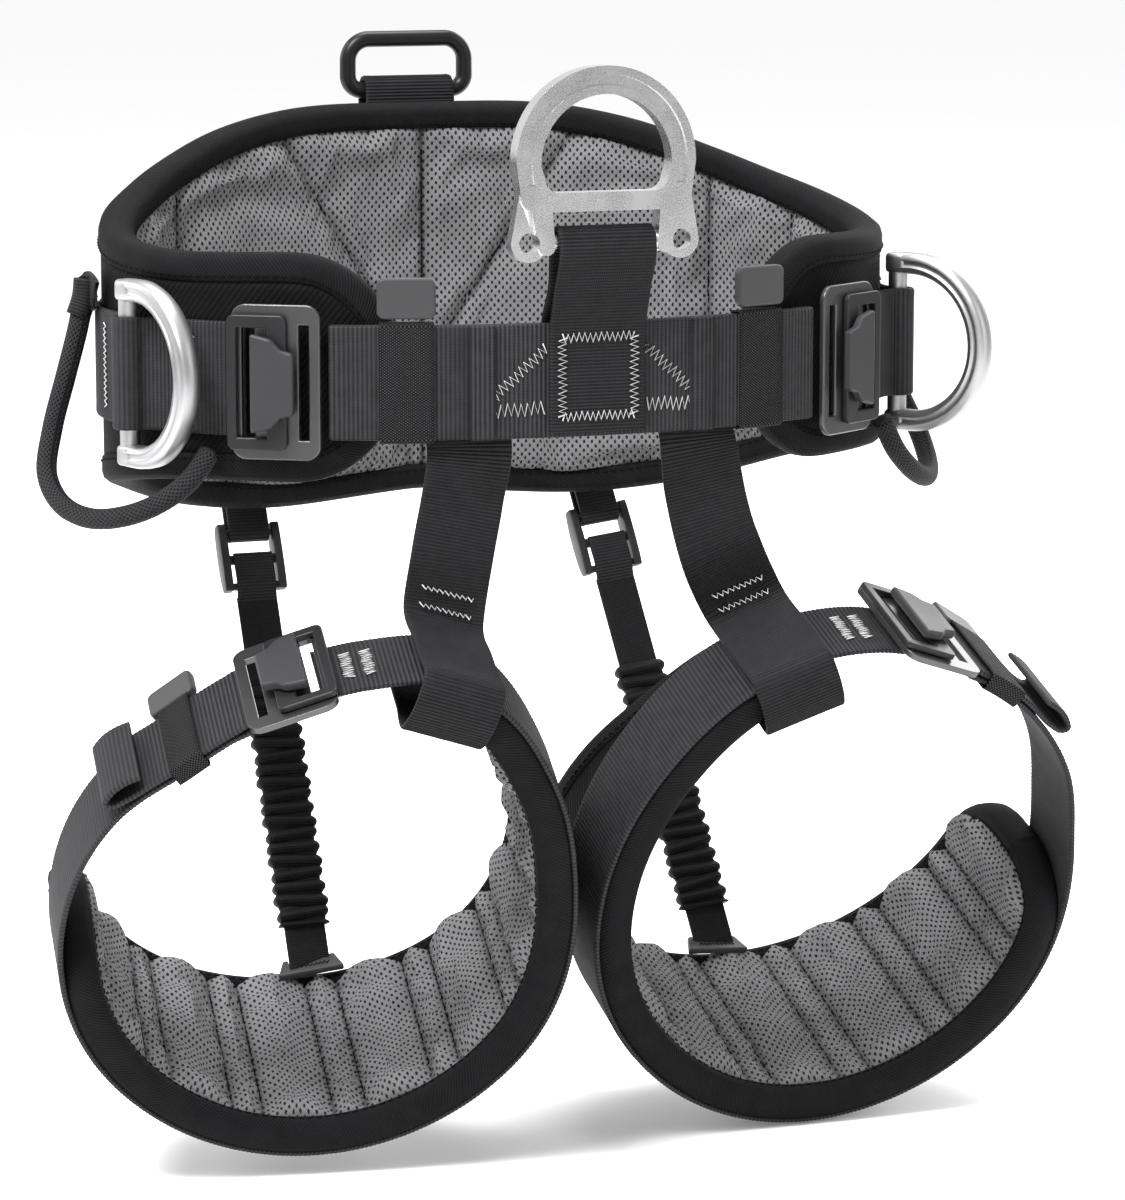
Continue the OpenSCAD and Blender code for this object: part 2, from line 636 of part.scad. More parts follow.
// Lower webbing with its shirred elastic stretch, down to the leg pad
module elastic_strap() {
    end = norm(rear_to() - rear_from) - 2.4;
    path = [for (s = [40, 78, 80, end - 18, end - 16, end]) rear_point(s, 0)];
    thick = [web, web, 5, 5, web, web];
    color([0.1, 0.1, 0.11]) loft([for (i = [0:len(path) - 1])
        let(w = rear_across() * rear_w / 2, n = cross(rear_across(), rear_dir()) * thick[i] / 2)
        [path[i] + w + n, path[i] - w + n, path[i] - w - n, path[i] + w - n]]);
}

module rear_anchor_tab() {
    color([0.2, 0.2, 0.21]) in_leg() at_leg(anchor_t(), -face - 5.3)
        translate([0, 0, curve_at(far_keys, anchor_t()) + 4]) outwards(3) rounded_plate(28, 10, 2.5);
}

// ---- Assembly ------------------------------------------------------------

module other_side() mirror([1, 0, 0]) children();

waist_outer_shell();
waist_foam_core();
waist_mesh_liner();
waist_edge_binding();
back_belt_webbing();
front_bridge_webbing();
ventral_loop_webbing();
ventral_d_ring();
rear_ring();
rear_ring_webbing();

side_webbing();  // left_side_webbing
side_ring(0);  // left_side_d_ring
belt_strap();  // left_belt_strap
at_waist(-buckle_phi, frame_d) buckle_frame(frame_h);  // left_waist_buckle_frame
at_waist(-buckle_phi, frame_d) buckle_hook(frame_h);  // left_waist_buckle_hook
at_waist(-buckle_phi, frame_d) buckle_cover(frame_h);  // left_waist_buckle_cover
belt_keeper();  // left_belt_keeper
keeper_clip();  // left_keeper_clip
gear_loop();  // left_gear_loop
left_leg() leg_outer_shell();  // left_leg_outer_shell
left_leg() leg_foam_core();  // left_leg_foam_core
left_leg() leg_mesh_liner();  // left_leg_mesh_liner
left_leg() leg_edge_binding();  // left_leg_edge_binding
left_leg() leg_riser();  // left_leg_riser
left_leg() leg_strap();  // left_leg_strap
left_leg() leg_hook_webbing();  // left_leg_hook_webbing
left_leg() leg_buckle_part() buckle_frame(leg_w + 16);  // left_leg_buckle_frame
left_leg() leg_buckle_part() buckle_hook(leg_w + 16);  // left_leg_buckle_hook
left_leg() leg_buckle_part() buckle_cover(leg_w + 16);  // left_leg_buckle_cover
left_leg() leg_keeper();  // left_leg_keeper
left_leg() leg_keeper_clip();  // left_leg_keeper_clip
left_leg() rear_strap();  // left_rear_strap
left_leg() ladder_lock();  // left_ladder_lock
left_leg() elastic_strap();  // left_elastic_strap
left_leg() rear_anchor_tab();  // left_rear_anchor_tab

other_side() side_webbing();  // right_side_webbing
other_side() side_ring(side_ring_open);  // right_side_d_ring
other_side() belt_strap();  // right_belt_strap
other_side() at_waist(-buckle_phi, frame_d) buckle_frame(frame_h);  // right_waist_buckle_frame
other_side() at_waist(-buckle_phi, frame_d) buckle_hook(frame_h);  // right_waist_buckle_hook
other_side() at_waist(-buckle_phi, frame_d) buckle_cover(frame_h);  // right_waist_buckle_cover
other_side() belt_keeper();  // right_belt_keeper
other_side() keeper_clip();  // right_keeper_clip
other_side() gear_loop();  // right_gear_loop
right_leg() leg_outer_shell();  // right_leg_outer_shell
right_leg() leg_foam_core();  // right_leg_foam_core
right_leg() leg_mesh_liner();  // right_leg_mesh_liner
right_leg() leg_edge_binding();  // right_leg_edge_binding
right_leg() leg_riser();  // right_leg_riser
right_leg() leg_strap();  // right_leg_strap
right_leg() leg_hook_webbing();  // right_leg_hook_webbing
right_leg() leg_buckle_part() buckle_frame(leg_w + 16);  // right_leg_buckle_frame
right_leg() leg_buckle_part() buckle_hook(leg_w + 16);  // right_leg_buckle_hook
right_leg() leg_buckle_part() buckle_cover(leg_w + 16);  // right_leg_buckle_cover
right_leg() leg_keeper();  // right_leg_keeper
right_leg() leg_keeper_clip();  // right_leg_keeper_clip
right_leg() rear_strap();  // right_rear_strap
right_leg() ladder_lock();  // right_ladder_lock
right_leg() elastic_strap();  // right_elastic_strap
right_leg() rear_anchor_tab();  // right_rear_anchor_tab
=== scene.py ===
"""Tree climbing saddle: the visible model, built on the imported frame.

The sizes below repeat the frame's driving dimensions, in millimetres; meshes are made in metres.
"""

import json
import math

import bmesh
import bpy
import numpy as np
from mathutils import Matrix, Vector

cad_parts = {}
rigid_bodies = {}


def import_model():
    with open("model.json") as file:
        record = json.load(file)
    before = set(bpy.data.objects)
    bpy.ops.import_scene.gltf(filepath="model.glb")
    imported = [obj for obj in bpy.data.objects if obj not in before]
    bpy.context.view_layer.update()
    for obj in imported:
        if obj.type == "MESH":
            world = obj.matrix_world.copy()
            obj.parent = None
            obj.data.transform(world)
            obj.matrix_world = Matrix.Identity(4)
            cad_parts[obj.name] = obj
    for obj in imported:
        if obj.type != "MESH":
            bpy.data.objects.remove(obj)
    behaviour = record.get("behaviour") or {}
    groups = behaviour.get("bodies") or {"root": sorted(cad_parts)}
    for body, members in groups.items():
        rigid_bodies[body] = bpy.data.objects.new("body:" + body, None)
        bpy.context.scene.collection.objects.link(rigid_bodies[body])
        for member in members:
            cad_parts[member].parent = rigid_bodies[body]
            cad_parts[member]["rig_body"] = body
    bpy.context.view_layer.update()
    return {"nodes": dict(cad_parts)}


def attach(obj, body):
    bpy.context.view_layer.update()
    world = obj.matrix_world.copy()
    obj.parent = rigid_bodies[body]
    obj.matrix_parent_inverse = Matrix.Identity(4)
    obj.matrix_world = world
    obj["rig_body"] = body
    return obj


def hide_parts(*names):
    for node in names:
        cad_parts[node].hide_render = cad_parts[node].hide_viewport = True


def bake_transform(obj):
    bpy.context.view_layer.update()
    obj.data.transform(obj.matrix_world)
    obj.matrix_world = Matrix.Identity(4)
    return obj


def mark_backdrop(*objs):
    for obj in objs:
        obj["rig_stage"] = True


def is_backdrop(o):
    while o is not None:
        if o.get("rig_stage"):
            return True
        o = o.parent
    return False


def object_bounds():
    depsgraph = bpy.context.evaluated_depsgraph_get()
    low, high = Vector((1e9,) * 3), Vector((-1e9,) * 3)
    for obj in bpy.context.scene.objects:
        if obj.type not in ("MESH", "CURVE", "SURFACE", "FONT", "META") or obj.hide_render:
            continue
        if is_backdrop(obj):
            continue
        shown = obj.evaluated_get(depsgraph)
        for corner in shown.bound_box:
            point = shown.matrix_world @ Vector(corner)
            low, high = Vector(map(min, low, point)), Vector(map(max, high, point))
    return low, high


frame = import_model()
MM = 0.001
Z_AXIS = np.array([0.0, 0.0, 1.0])
X_AXIS = np.array([1.0, 0.0, 0.0])

# ---- Camera, light and floor ----


def look(azimuth, elevation, target, distance, lens):
    a, e = math.radians(azimuth), math.radians(elevation)
    back = Vector((math.sin(a) * math.cos(e), -math.cos(a) * math.cos(e), math.sin(e)))
    camera = bpy.data.objects.new("camera", bpy.data.cameras.new("camera"))
    bpy.context.scene.collection.objects.link(camera)
    camera.location = Vector(target) + distance * back
    camera.rotation_euler = back.to_track_quat("Z", "Y").to_euler()
    camera.data.lens = lens
    camera.data.sensor_fit = "AUTO"
    camera.data.sensor_width = 36
    bpy.context.scene.camera = camera


def area_light(name, place, size, power, aim=(0, 0, -0.1)):
    light = bpy.data.objects.new(name, bpy.data.lights.new(name, "AREA"))
    bpy.context.scene.collection.objects.link(light)
    light.data.shape = "RECTANGLE"
    light.data.size, light.data.size_y = size
    light.data.energy = power
    light.location = place
    light.rotation_euler = (Vector(place) - Vector(aim)).to_track_quat("Z", "Y").to_euler()


look(azimuth=-20, elevation=9.5, target=(0.029, 0, -0.108), distance=2.0, lens=142.6)
area_light("key", (-1.2, -0.9, 1.9), (0.9, 0.9), 120)
area_light("fill", (1.9, -1.4, 0.7), (1.4, 1.8), 16)
area_light("top", (0.3, 0.6, 2.2), (1.2, 1.2), 60)
area_light("rim_left", (-1.6, 1.3, 0.9), (0.8, 1.8), 22)
area_light("rim_right", (1.7, 1.3, 0.8), (0.8, 1.8), 22)
world = bpy.data.worlds.new("studio")
bpy.context.scene.world = world
world.use_nodes = True
world.node_tree.nodes["Background"].inputs[0].default_value = (1, 1, 1, 1)
world.node_tree.nodes["Background"].inputs[1].default_value = 0.95
bpy.context.scene.view_settings.view_transform = "Standard"

# ---- Materials ----


class Shade:
    """A node material: a Principled shader and short calls that wire nodes to it."""

    def __init__(self, name, color, rough=0.6, metal=0.0, **sockets):
        self.mat = bpy.data.materials.new(name)
        self.mat.use_nodes = True
        self.nodes = self.mat.node_tree.nodes
        self.links = self.mat.node_tree.links
        self.out = self.nodes["Principled BSDF"]
        self.out.inputs["Base Color"].default_value = (*color, 1)
        self.out.inputs["Roughness"].default_value = rough
        self.out.inputs["Metallic"].default_value = metal
        for key, value in sockets.items():
            self.out.inputs[key.replace("_", " ")].default_value = value

    def node(self, kind, **inputs):
        """A new node; an input is given by its name, or as i0, i1 and so on by its number."""
        n = self.nodes.new(kind)
        for key, value in inputs.items():
            numbered = key[0] == "i" and key[1:].isdigit()
            self.plug(value, n.inputs[int(key[1:]) if numbered else key.replace("_", " ")])
        return n

    def plug(self, value, socket):
        if isinstance(value, bpy.types.NodeSocket):
            self.links.new(value, socket)
        else:
            socket.default_value = value

    def math(self, operation, a, b=0.0, c=0.0):
        n = self.node("ShaderNodeMath", i0=a, i1=b, i2=c)
        n.operation = operation
        return n.outputs[0]

    def place(self, uv=True):
        """Millimetres over the surface (u across, v along), or in space."""
        if uv:
            n = self.nodes.new("ShaderNodeUVMap")
            n.uv_map = "mm"
            split = self.node("ShaderNodeSeparateXYZ", i0=n.outputs[0])
            return n.outputs[0], split.outputs[0], split.outputs[1]
        n = self.nodes.new("ShaderNodeTexCoord")
        scaled = self.node("ShaderNodeVectorMath", i0=n.outputs["Object"], i1=(1000, 1000, 1000))
        scaled.operation = "MULTIPLY"
        split = self.node("ShaderNodeSeparateXYZ", i0=scaled.outputs[0])
        return scaled.outputs[0], split.outputs[0], split.outputs[1]

    def noise(self, vector, scale, detail=2.0):
        return self.node("ShaderNodeTexNoise", Vector=vector, Scale=scale, Detail=detail).outputs[0]

    def wave(self, value, pitch):
        """0 to 1 and back every pitch millimetres."""
        turn = self.math("MULTIPLY", value, 2 * math.pi / pitch)
        return self.math("MULTIPLY_ADD", self.math("SINE", turn), 0.5, 0.5)

    def mix_color(self, factor, a, b):
        n = self.nodes.new("ShaderNodeMix")
        n.data_type = "RGBA"
        self.plug(factor, n.inputs[0])
        self.plug((*a, 1) if isinstance(a, tuple) else a, n.inputs[6])
        self.plug((*b, 1) if isinstance(b, tuple) else b, n.inputs[7])
        self.links.new(n.outputs[2], self.out.inputs["Base Color"])
        return n.outputs[2]

    def bump(self, height, distance, strength=1.0):
        n = self.node("ShaderNodeBump", Height=height, Strength=strength, Distance=distance)
        self.links.new(n.outputs[0], self.out.inputs["Normal"])

    def rough(self, value, low, high):
        n = self.node("ShaderNodeMapRange", i0=value, i1=0.0, i2=1.0, i3=low, i4=high)
        self.links.new(n.outputs[0], self.out.inputs["Roughness"])


def webbing_material(name, pitch, dark, light, across=0.9):
    """Woven nylon: ribs over the width, warp lines along it, a little sheen."""
    s = Shade(name, dark, 0.55, IOR=1.14)
    vector, u, v = s.place()
    ribs = s.wave(v, pitch)
    warp = s.wave(u, across)
    cloud = s.noise(vector, 0.16, 3)
    weave = s.math("MULTIPLY_ADD", ribs, 0.7, s.math("MULTIPLY", warp, 0.3))
    s.mix_color(s.math("MULTIPLY_ADD", weave, 0.75, s.math("MULTIPLY", cloud, 0.35)), dark, light)
    s.rough(cloud, 0.42, 0.62)
    s.bump(weave, 0.00025, 0.7)
    return s.mat


def twill_material(name, dark, light, pitch=1.5):
    """Binding tape: fine diagonal ribs."""
    s = Shade(name, dark, 0.68, IOR=1.12)
    vector, u, v = s.place()
    diagonal = s.math("ADD", s.math("MULTIPLY", u, 0.75), v)
    ribs = s.wave(diagonal, pitch)
    threads = s.wave(s.math("SUBTRACT", u, v), 0.7)
    cloud = s.noise(vector, 0.08, 3)
    weave = s.math("MULTIPLY_ADD", ribs, 0.75, s.math("MULTIPLY", threads, 0.25))
    s.mix_color(s.math("MULTIPLY_ADD", weave, 0.6, s.math("MULTIPLY", cloud, 0.5)), dark, light)
    s.bump(weave, 0.0003, 0.8)
    return s.mat


def mesh_material():
    """Grey spacer mesh: short slots in staggered rows over a fine knit, with painted shade on the quilting
    seams.
    """
    s = Shade("mesh_liner", (0.2, 0.2, 0.205), 0.8, IOR=1.15)
    vector, u, v = s.place()
    row = s.math("DIVIDE", v, 1.75)
    odd = s.math("MODULO", s.math("FLOOR", row), 2.0)
    column = s.math("DIVIDE", s.math("MULTIPLY_ADD", odd, 1.9, u), 3.8)
    x = s.math("SUBTRACT", s.math("FRACT", column), 0.5)
    y = s.math("SUBTRACT", s.math("FRACT", row), 0.5)
    far = s.math("SQRT", s.math("ADD", s.math("POWER", s.math("MULTIPLY", x, 1.45), 2.0),
                                s.math("POWER", y, 2.0)))
    hole = s.node("ShaderNodeMapRange", i0=far, i1=0.22, i2=0.36, i3=1.0, i4=0.0).outputs[0]
    knit = s.math("MULTIPLY", s.wave(s.math("ADD", u, s.math("MULTIPLY", v, 0.5)), 0.85),
                  s.wave(s.math("SUBTRACT", v, s.math("MULTIPLY", u, 0.5)), 0.85))
    cloud = s.noise(vector, 0.05, 3)
    tone = s.math("MULTIPLY_ADD", knit, 0.55, s.math("MULTIPLY", cloud, 0.45))
    base = s.mix_color(tone, (0.075, 0.075, 0.077), (0.27, 0.27, 0.276))
    # Painted shade: a point attribute from the liner darkens the knit towards near-black on the quilting
    # seams and along its edges.
    crease_shade = s.nodes.new("ShaderNodeAttribute")
    crease_shade.attribute_name = "crease_shade"
    seam_shaded = s.mix_color(s.math("MULTIPLY", crease_shade.outputs["Fac"], 0.8), base, (0.012, 0.012, 0.013))
    s.mix_color(hole, seam_shaded, (0.012, 0.012, 0.013))
    s.bump(s.math("MULTIPLY_ADD", knit, 0.35, s.math("MULTIPLY", hole, -1.0)), 0.0006, 0.9)
    return s.mat


def checker_material():
    """Woven elastic: small diamonds."""
    s = Shade("woven_elastic", (0.02, 0.02, 0.022), 0.6, IOR=1.14)
    vector, u, v = s.place()
    a = s.wave(s.math("ADD", u, v), 1.5)
    b = s.wave(s.math("SUBTRACT", u, v), 1.5)
    weave = s.math("MULTIPLY", a, b)
    s.mix_color(weave, (0.002, 0.002, 0.0022), (0.06, 0.06, 0.063))
    s.bump(weave, 0.0005, 1.0)
    return s.mat


def metal_material(name, color, rough, grain, metal=1.0, **sockets):
    """Metal, moulded plastic, thread or foam: cloudy roughness and a fine grain."""
    s = Shade(name, color, rough, metal, **sockets)
    vector, u, v = s.place(uv=False)
    cloud = s.noise(vector, 0.06, 4)
    fine = s.noise(vector, grain, 2)
    dark = tuple(c * 0.82 for c in color)
    light = tuple(min(1.0, c * 1.12) for c in color)
    s.mix_color(s.math("MULTIPLY_ADD", fine, 0.5, s.math("MULTIPLY", cloud, 0.5)), dark, light)
    s.rough(s.math("MULTIPLY_ADD", fine, 0.4, s.math("MULTIPLY", cloud, 0.6)), rough * 0.7, rough * 1.35)
    s.bump(fine, 0.00006, 0.35)
    return s.mat


def braid_material():
    """Braided sleeve: two sets of yarns crossing over each other."""
    s = Shade("braided_sleeve", (0.02, 0.02, 0.022), 0.62, IOR=1.14)
    vector, u, v = s.place()
    steep = s.math("MULTIPLY", v, 0.8)
    a = s.wave(s.math("ADD", u, steep), 1.9)
    b = s.wave(s.math("SUBTRACT", u, steep), 1.9)
    weave = s.math("MAXIMUM", a, b)
    s.mix_color(weave, (0.0008, 0.0008, 0.0009), (0.024, 0.024, 0.0255))
    s.bump(weave, 0.0006, 0.9)
    return s.mat


def floor_material():
    s = Shade("floor", (0.99, 0.99, 0.99), 0.95, Specular_IOR_Level=0.1)
    vector, u, v = s.place(uv=False)
    s.mix_color(s.noise(vector, 0.004, 2), (0.985, 0.985, 0.985), (1.0, 1.0, 1.0))
    return s.mat


WEB = webbing_material("belt_webbing", 1.8, (0.001, 0.001, 0.0011), (0.034, 0.034, 0.036))
WEB_FINE = webbing_material("riser_webbing", 1.35, (0.0008, 0.0008, 0.0009), (0.021, 0.021, 0.0225))
TWILL = twill_material("binding_twill", (0.0006, 0.0006, 0.0007), (0.011, 0.011, 0.012))
COVER = twill_material("pad_cover_cloth", (0.0005, 0.0005, 0.0006), (0.0075, 0.0075, 0.008), 2.6)
MESH = mesh_material()
ELASTIC = checker_material()
SHIRR = webbing_material("shirred_elastic", 0.9, (0.0006, 0.0006, 0.0007), (0.012, 0.012, 0.013))
BRAID = braid_material()
ALUMINIUM = metal_material("polished_aluminium", (0.58, 0.58, 0.585), 0.27, 1.4)
SATIN = metal_material("satin_aluminium", (0.34, 0.34, 0.345), 0.42, 1.4)
BLACK_PAINT = metal_material("black_paint", (0.006, 0.006, 0.0065), 0.33, 1.0, metal=0.0, IOR=1.28)
ANODISED = metal_material("dark_anodised", (0.075, 0.075, 0.077), 0.3, 1.8, metal=0.8)
HOOK = metal_material("black_anodised", (0.012, 0.012, 0.013), 0.36, 1.8, metal=0.0, IOR=1.3)
RUBBER = metal_material("grey_rubber", (0.026, 0.026, 0.0275), 0.42, 0.9, metal=0.0, IOR=1.28)
PLASTIC = metal_material("grey_plastic", (0.034, 0.034, 0.0355), 0.42, 1.1, metal=0.0, IOR=1.28)
DARK_PLASTIC = metal_material("dark_plastic", (0.014, 0.014, 0.015), 0.4, 1.1, metal=0.0, IOR=1.28)
THREAD = metal_material("grey_thread", (0.46, 0.46, 0.46), 0.8, 3.0, metal=0.0, IOR=1.12)
BLACK_THREAD = metal_material("black_thread", (0.004, 0.004, 0.0044), 0.7, 3.0, metal=0.0, IOR=1.12)
FINE = dict(pitch=1.35, material=WEB_FINE)
NARROW = dict(thick=2.0, pitch=1.3, material=WEB_FINE)

# ---- Mesh helpers ----


def unit(v):
    v = np.asarray(v, float)
    return v / np.linalg.norm(v)


def turned(degrees):
    """Sine and cosine of an angle in degrees."""
    return math.sin(math.radians(degrees)), math.cos(math.radians(degrees))


def cubic(x, y, slope, want):
    """Smooth curve through the points (x, y) with the given slopes there."""
    i = np.clip(np.searchsorted(x, want, side="right") - 1, 0, len(x) - 2)
    h = x[i + 1] - x[i]
    s = (want - x[i]) / h
    return ((2 * s**3 - 3 * s**2 + 1) * y[i] + (s**3 - 2 * s**2 + s) * slope[i] * h
            + (3 * s**2 - 2 * s**3) * y[i + 1] + (s**3 - s**2) * slope[i + 1] * h)


def curve_at(keys, x):
    """Smooth curve through (x, value) keys."""
    at, value = np.array(keys, float).T
    here = np.arange(len(at))
    before, after = np.maximum(here - 1, 0), np.minimum(here + 1, len(at) - 1)
    slope = (value[after] - value[before]) / (at[after] - at[before])
    return cubic(at, value, slope, np.asarray(x, float))


def make(name, verts, faces, material, body, uvs=None, replaces=None, slot=None):
    """A mesh piece from points in millimetres; uvs are millimetres over the surface, one per vertex."""
    mesh = bpy.data.meshes.new(name)
    mesh.from_pydata((np.asarray(verts, float) * MM).tolist(), [], faces)
    mesh.validate()
    if uvs is not None:
        layer = mesh.uv_layers.new(name="mm")
        index = np.zeros(len(mesh.loops), np.int32)
        mesh.loops.foreach_get("vertex_index", index)
        layer.data.foreach_set("uv", np.asarray(uvs, np.float32)[index].ravel())
    bm = bmesh.new()
    bm.from_mesh(mesh)
    bmesh.ops.recalc_face_normals(bm, faces=bm.faces)
    bm.to_mesh(mesh)
    bm.free()
    mesh.shade_smooth()
    mesh.materials.append(material)
    piece = bpy.data.objects.new(name, mesh)
    bpy.context.scene.collection.objects.link(piece)
    if replaces:
        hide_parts(replaces)
    if body:
        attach(piece, body)
    return piece


def grid_faces(rows, columns, loop_rows=False, loop_columns=False):
    """Four-cornered faces between points in rows; a loop also joins the last to the first."""
    out = []
    for i in range(rows if loop_rows else rows - 1):
        for j in range(columns if loop_columns else columns - 1):
            a, b = i * columns + j, i * columns + (j + 1) % columns
            c, d = ((i + 1) % rows) * columns + (j + 1) % columns, ((i + 1) % rows) * columns + j
            out.append((a, b, c, d))
    return out


def rim_of(rows, columns):
    """Numbers of the points round the edge of a grid, in order."""
    return ([i * columns for i in range(rows)] + [(rows - 1) * columns + j for j in range(1, columns)]
            + [i * columns + columns - 1 for i in range(rows - 2, -1, -1)] + list(range(columns - 2, 0, -1)))


def loft(rings, closed=False):
    """Points and faces of a solid through rings; an open one gets end caps."""
    rings = np.asarray(rings, float)
    n, m = rings.shape[:2]
    faces = grid_faces(n, m, loop_rows=closed, loop_columns=True)
    if not closed:
        faces += [tuple(range(m - 1, -1, -1)), tuple((n - 1) * m + k for k in range(m))]
    return rings.reshape(-1, 3), faces


def lengths(path):
    return np.concatenate([[0], np.cumsum(np.linalg.norm(np.diff(path, axis=0), axis=1))])


def lookup(want, at, rows):
    """Vectors interpolated at the distances want, from rows given at the distances at."""
    return np.stack([np.interp(want, at, column) for column in rows.T], 1)


def resample(path, step, smooth=True, extra=None):
    """Evenly spaced points on a smooth curve through path, and the same for extra vectors."""
    path = np.asarray(path, float)
    keep = np.concatenate([[True], np.linalg.norm(np.diff(path, axis=0), axis=1) > 1e-6])
    path = path[keep]
    at = lengths(path)
    where, gone, dense = at, at, path
    if smooth and len(path) > 2:
        where = np.linspace(0, at[-1], 6 * len(path))
        dense = np.stack([cubic(at, column, np.gradient(column, at), where) for column in path.T], 1)
        gone = lengths(dense)
    want = np.linspace(0, gone[-1], max(2, int(round(gone[-1] / step)) + 1))
    points = lookup(want, gone, dense)
    if extra is None:
        return points
    return points, lookup(np.interp(want, gone, where), at, np.asarray(extra, float)[keep])


def tangents(path):
    t = np.gradient(path, axis=0)
    return t / np.linalg.norm(t, axis=1)[:, None]


def strap(name, path, across, width, body, thick=2.2, pitch=1.8, material=WEB, replaces=None):
    """Woven webbing along a path: rounded selvedges and ribs over its width."""
    across = np.asarray(across, float)
    if across.ndim == 1:
        across = np.tile(across, (len(path), 1))
    path, across = resample(path, pitch / 4, extra=across)
    t = tangents(path)
    n = np.cross(t, across)
    n /= np.linalg.norm(n, axis=1)[:, None]
    w = np.cross(n, t)
    along = lengths(path)
    ribs = 1 + 0.16 * np.cos(2 * math.pi * along / pitch)
    s = np.array([-1, -0.985, -0.94, -0.8, -0.4, 0, 0.4, 0.8, 0.94, 0.985, 1])
    h = np.array([0.25, 0.75, 1, 0.93, 0.93, 0.93, 0.93, 0.93, 1, 0.75, 0.25])
    side = np.concatenate([s, s[::-1]])
    lift = np.concatenate([h, -h[::-1]])
    rings = (path[:, None] + side[None, :, None] * (width / 2) * w[:, None]
             + lift[None, :, None] * (thick / 2 * ribs)[:, None, None] * n[:, None])
    verts, faces = loft(rings)
    uvs = np.stack([np.tile(side * width / 2, len(path)), np.repeat(along, len(side))], 1)
    slot = "webbing" if replaces else None
    return make(name, verts, faces, material, body, uvs=uvs, replaces=replaces, slot=slot)


def circles(path, a, b, radius, sides):
    """Rings of points round a path, in the planes of its vectors a and b."""
    turn = np.arange(sides)[None, :, None] * 2 * math.pi / sides
    return path[:, None] + radius * (np.cos(turn) * a[:, None] + np.sin(turn) * b[:, None])


def tube(name, path, radius, body, material, sides=14, taper=0.0, **keys):
    """Round bar or cord along a path; taper is the length over which its ends close."""
    path = resample(path, 1.5)
    t = tangents(path)
    a = np.cross(t, np.where(np.abs(t @ Z_AXIS)[:, None] > 0.9, X_AXIS, Z_AXIS))
    for k in range(1, len(a)):
        a[k] = a[k - 1] - t[k] * (a[k - 1] @ t[k])
        a[k] /= np.linalg.norm(a[k])
    a[0] /= np.linalg.norm(a[0])
    along = lengths(path)
    r = np.full(len(path), float(radius))
    if taper:
        r *= np.sqrt(np.clip(np.minimum(along, along[-1] - along) / taper, 0.02, 1))
    verts, faces = loft(circles(path, a, np.cross(t, a), r[:, None, None], sides))
    around = np.arange(sides) * 2 * math.pi / sides * radius
    uvs = np.stack([np.tile(around, len(path)), np.repeat(along, sides)], 1)
    return make(name, verts, faces, material, body, uvs=uvs, **keys)


def threads(name, stitches, body, material=THREAD, radius=0.32):
    """Many short stitches in one piece; each is a list of points in millimetres."""
    verts, faces = [], []
    for path in stitches:
        path = np.asarray(path, float)
        t = tangents(path)
        ref = unit(np.cross(t[0], [0.31, 0.52, 0.79]))
        b = np.cross(t, ref)
        b /= np.linalg.norm(b, axis=1)[:, None]
        v, f = loft(circles(path, np.cross(b, t), b, radius, 5))
        faces += [tuple(i + len(verts) for i in face) for face in f]
        verts += v.tolist()
    return make(name, verts, faces, material, body, uvs=np.zeros((len(verts), 2)))


def running_stitch(path, normal, length=2.6, gap=1.1, lift=0.3):
    """Straight stitches along a path, each a short arch over the cloth."""
    at = lengths(path)
    out = []
    for start in np.arange(gap, at[-1] - length, length + gap):
        where = start + length * np.array([0, 0.2, 0.5, 0.8, 1])
        height = lift * np.array([-0.6, 0.7, 1, 0.7, -0.6])
        out.append(lookup(where, at, path) + lookup(where, at, normal) * height[:, None])
    return out


def zigzag(corners, out, pitch, width, lift=0.25):
    """A zigzag row of thread between points, as one long stitch."""
    path = resample(np.asarray(corners, float), pitch, smooth=False)
    k = np.arange(len(path))
    t = tangents(path)
    side = np.cross(t, np.asarray(out, float))
    side /= np.linalg.norm(side, axis=1)[:, None]
    wobble = 1 + 0.15 * np.sin(k * 2.4)
    return path + side * (np.where(k % 2, 0.5, -0.5) * width * wobble)[:, None] + np.asarray(out) * lift


def prism(name, outline, thick, frame_at, material, body, bevel=0.8, **keys):
    """A plate with rounded edges: outline in (x, y) of a frame (origin, x, y, z), thick along z."""
    origin, x, y, z = (np.asarray(v, float) for v in frame_at)
    outline = np.array(outline, float)
    layers = [origin + outline[:, :1] * x + outline[:, 1:] * y + k * z for k in (-thick / 2, thick / 2)]
    n = len(outline)
    faces = [tuple(range(n - 1, -1, -1)), tuple(range(n, 2 * n))]
    faces += [(i, (i + 1) % n, (i + 1) % n + n, i + n) for i in range(n)]
    piece = make(name, np.concatenate(layers), faces, material, body, **keys)
    edge = piece.modifiers.new("bevel", "BEVEL")
    edge.width, edge.segments, edge.limit_method = bevel * MM, 3, "ANGLE"
    edge.angle_limit = math.radians(25)
    return piece


def bevelled(node, material, width, segments=3):
    """The CAD node's own shape with its sharp edges rounded."""
    source = frame["nodes"][node]
    piece = bpy.data.objects.new(f"{node}_part", source.data.copy())
    bpy.context.scene.collection.objects.link(piece)
    bm = bmesh.new()
    bm.from_mesh(piece.data)
    bmesh.ops.remove_doubles(bm, verts=bm.verts, dist=0.00002)
    bmesh.ops.dissolve_limit(bm, angle_limit=math.radians(2), verts=bm.verts, edges=bm.edges)
    bmesh.ops.recalc_face_normals(bm, faces=bm.faces)
    bm.to_mesh(piece.data)
    bm.free()
    piece.data.materials.clear()
    piece.data.materials.append(material)
    if width:
        bevel = piece.modifiers.new("bevel", "BEVEL")
        bevel.width = width * MM
        bevel.segments = segments
        bevel.limit_method = "ANGLE"
        bevel.angle_limit = math.radians(35)
        bevel.harden_normals = True
    piece.data.shade_smooth()
    piece.data.set_sharp_from_angle(angle=math.radians(32))
    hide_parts(node)
    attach(piece, source["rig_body"])


def mirrored(v):
    return np.asarray(v, float) * np.array([-1, 1, 1])


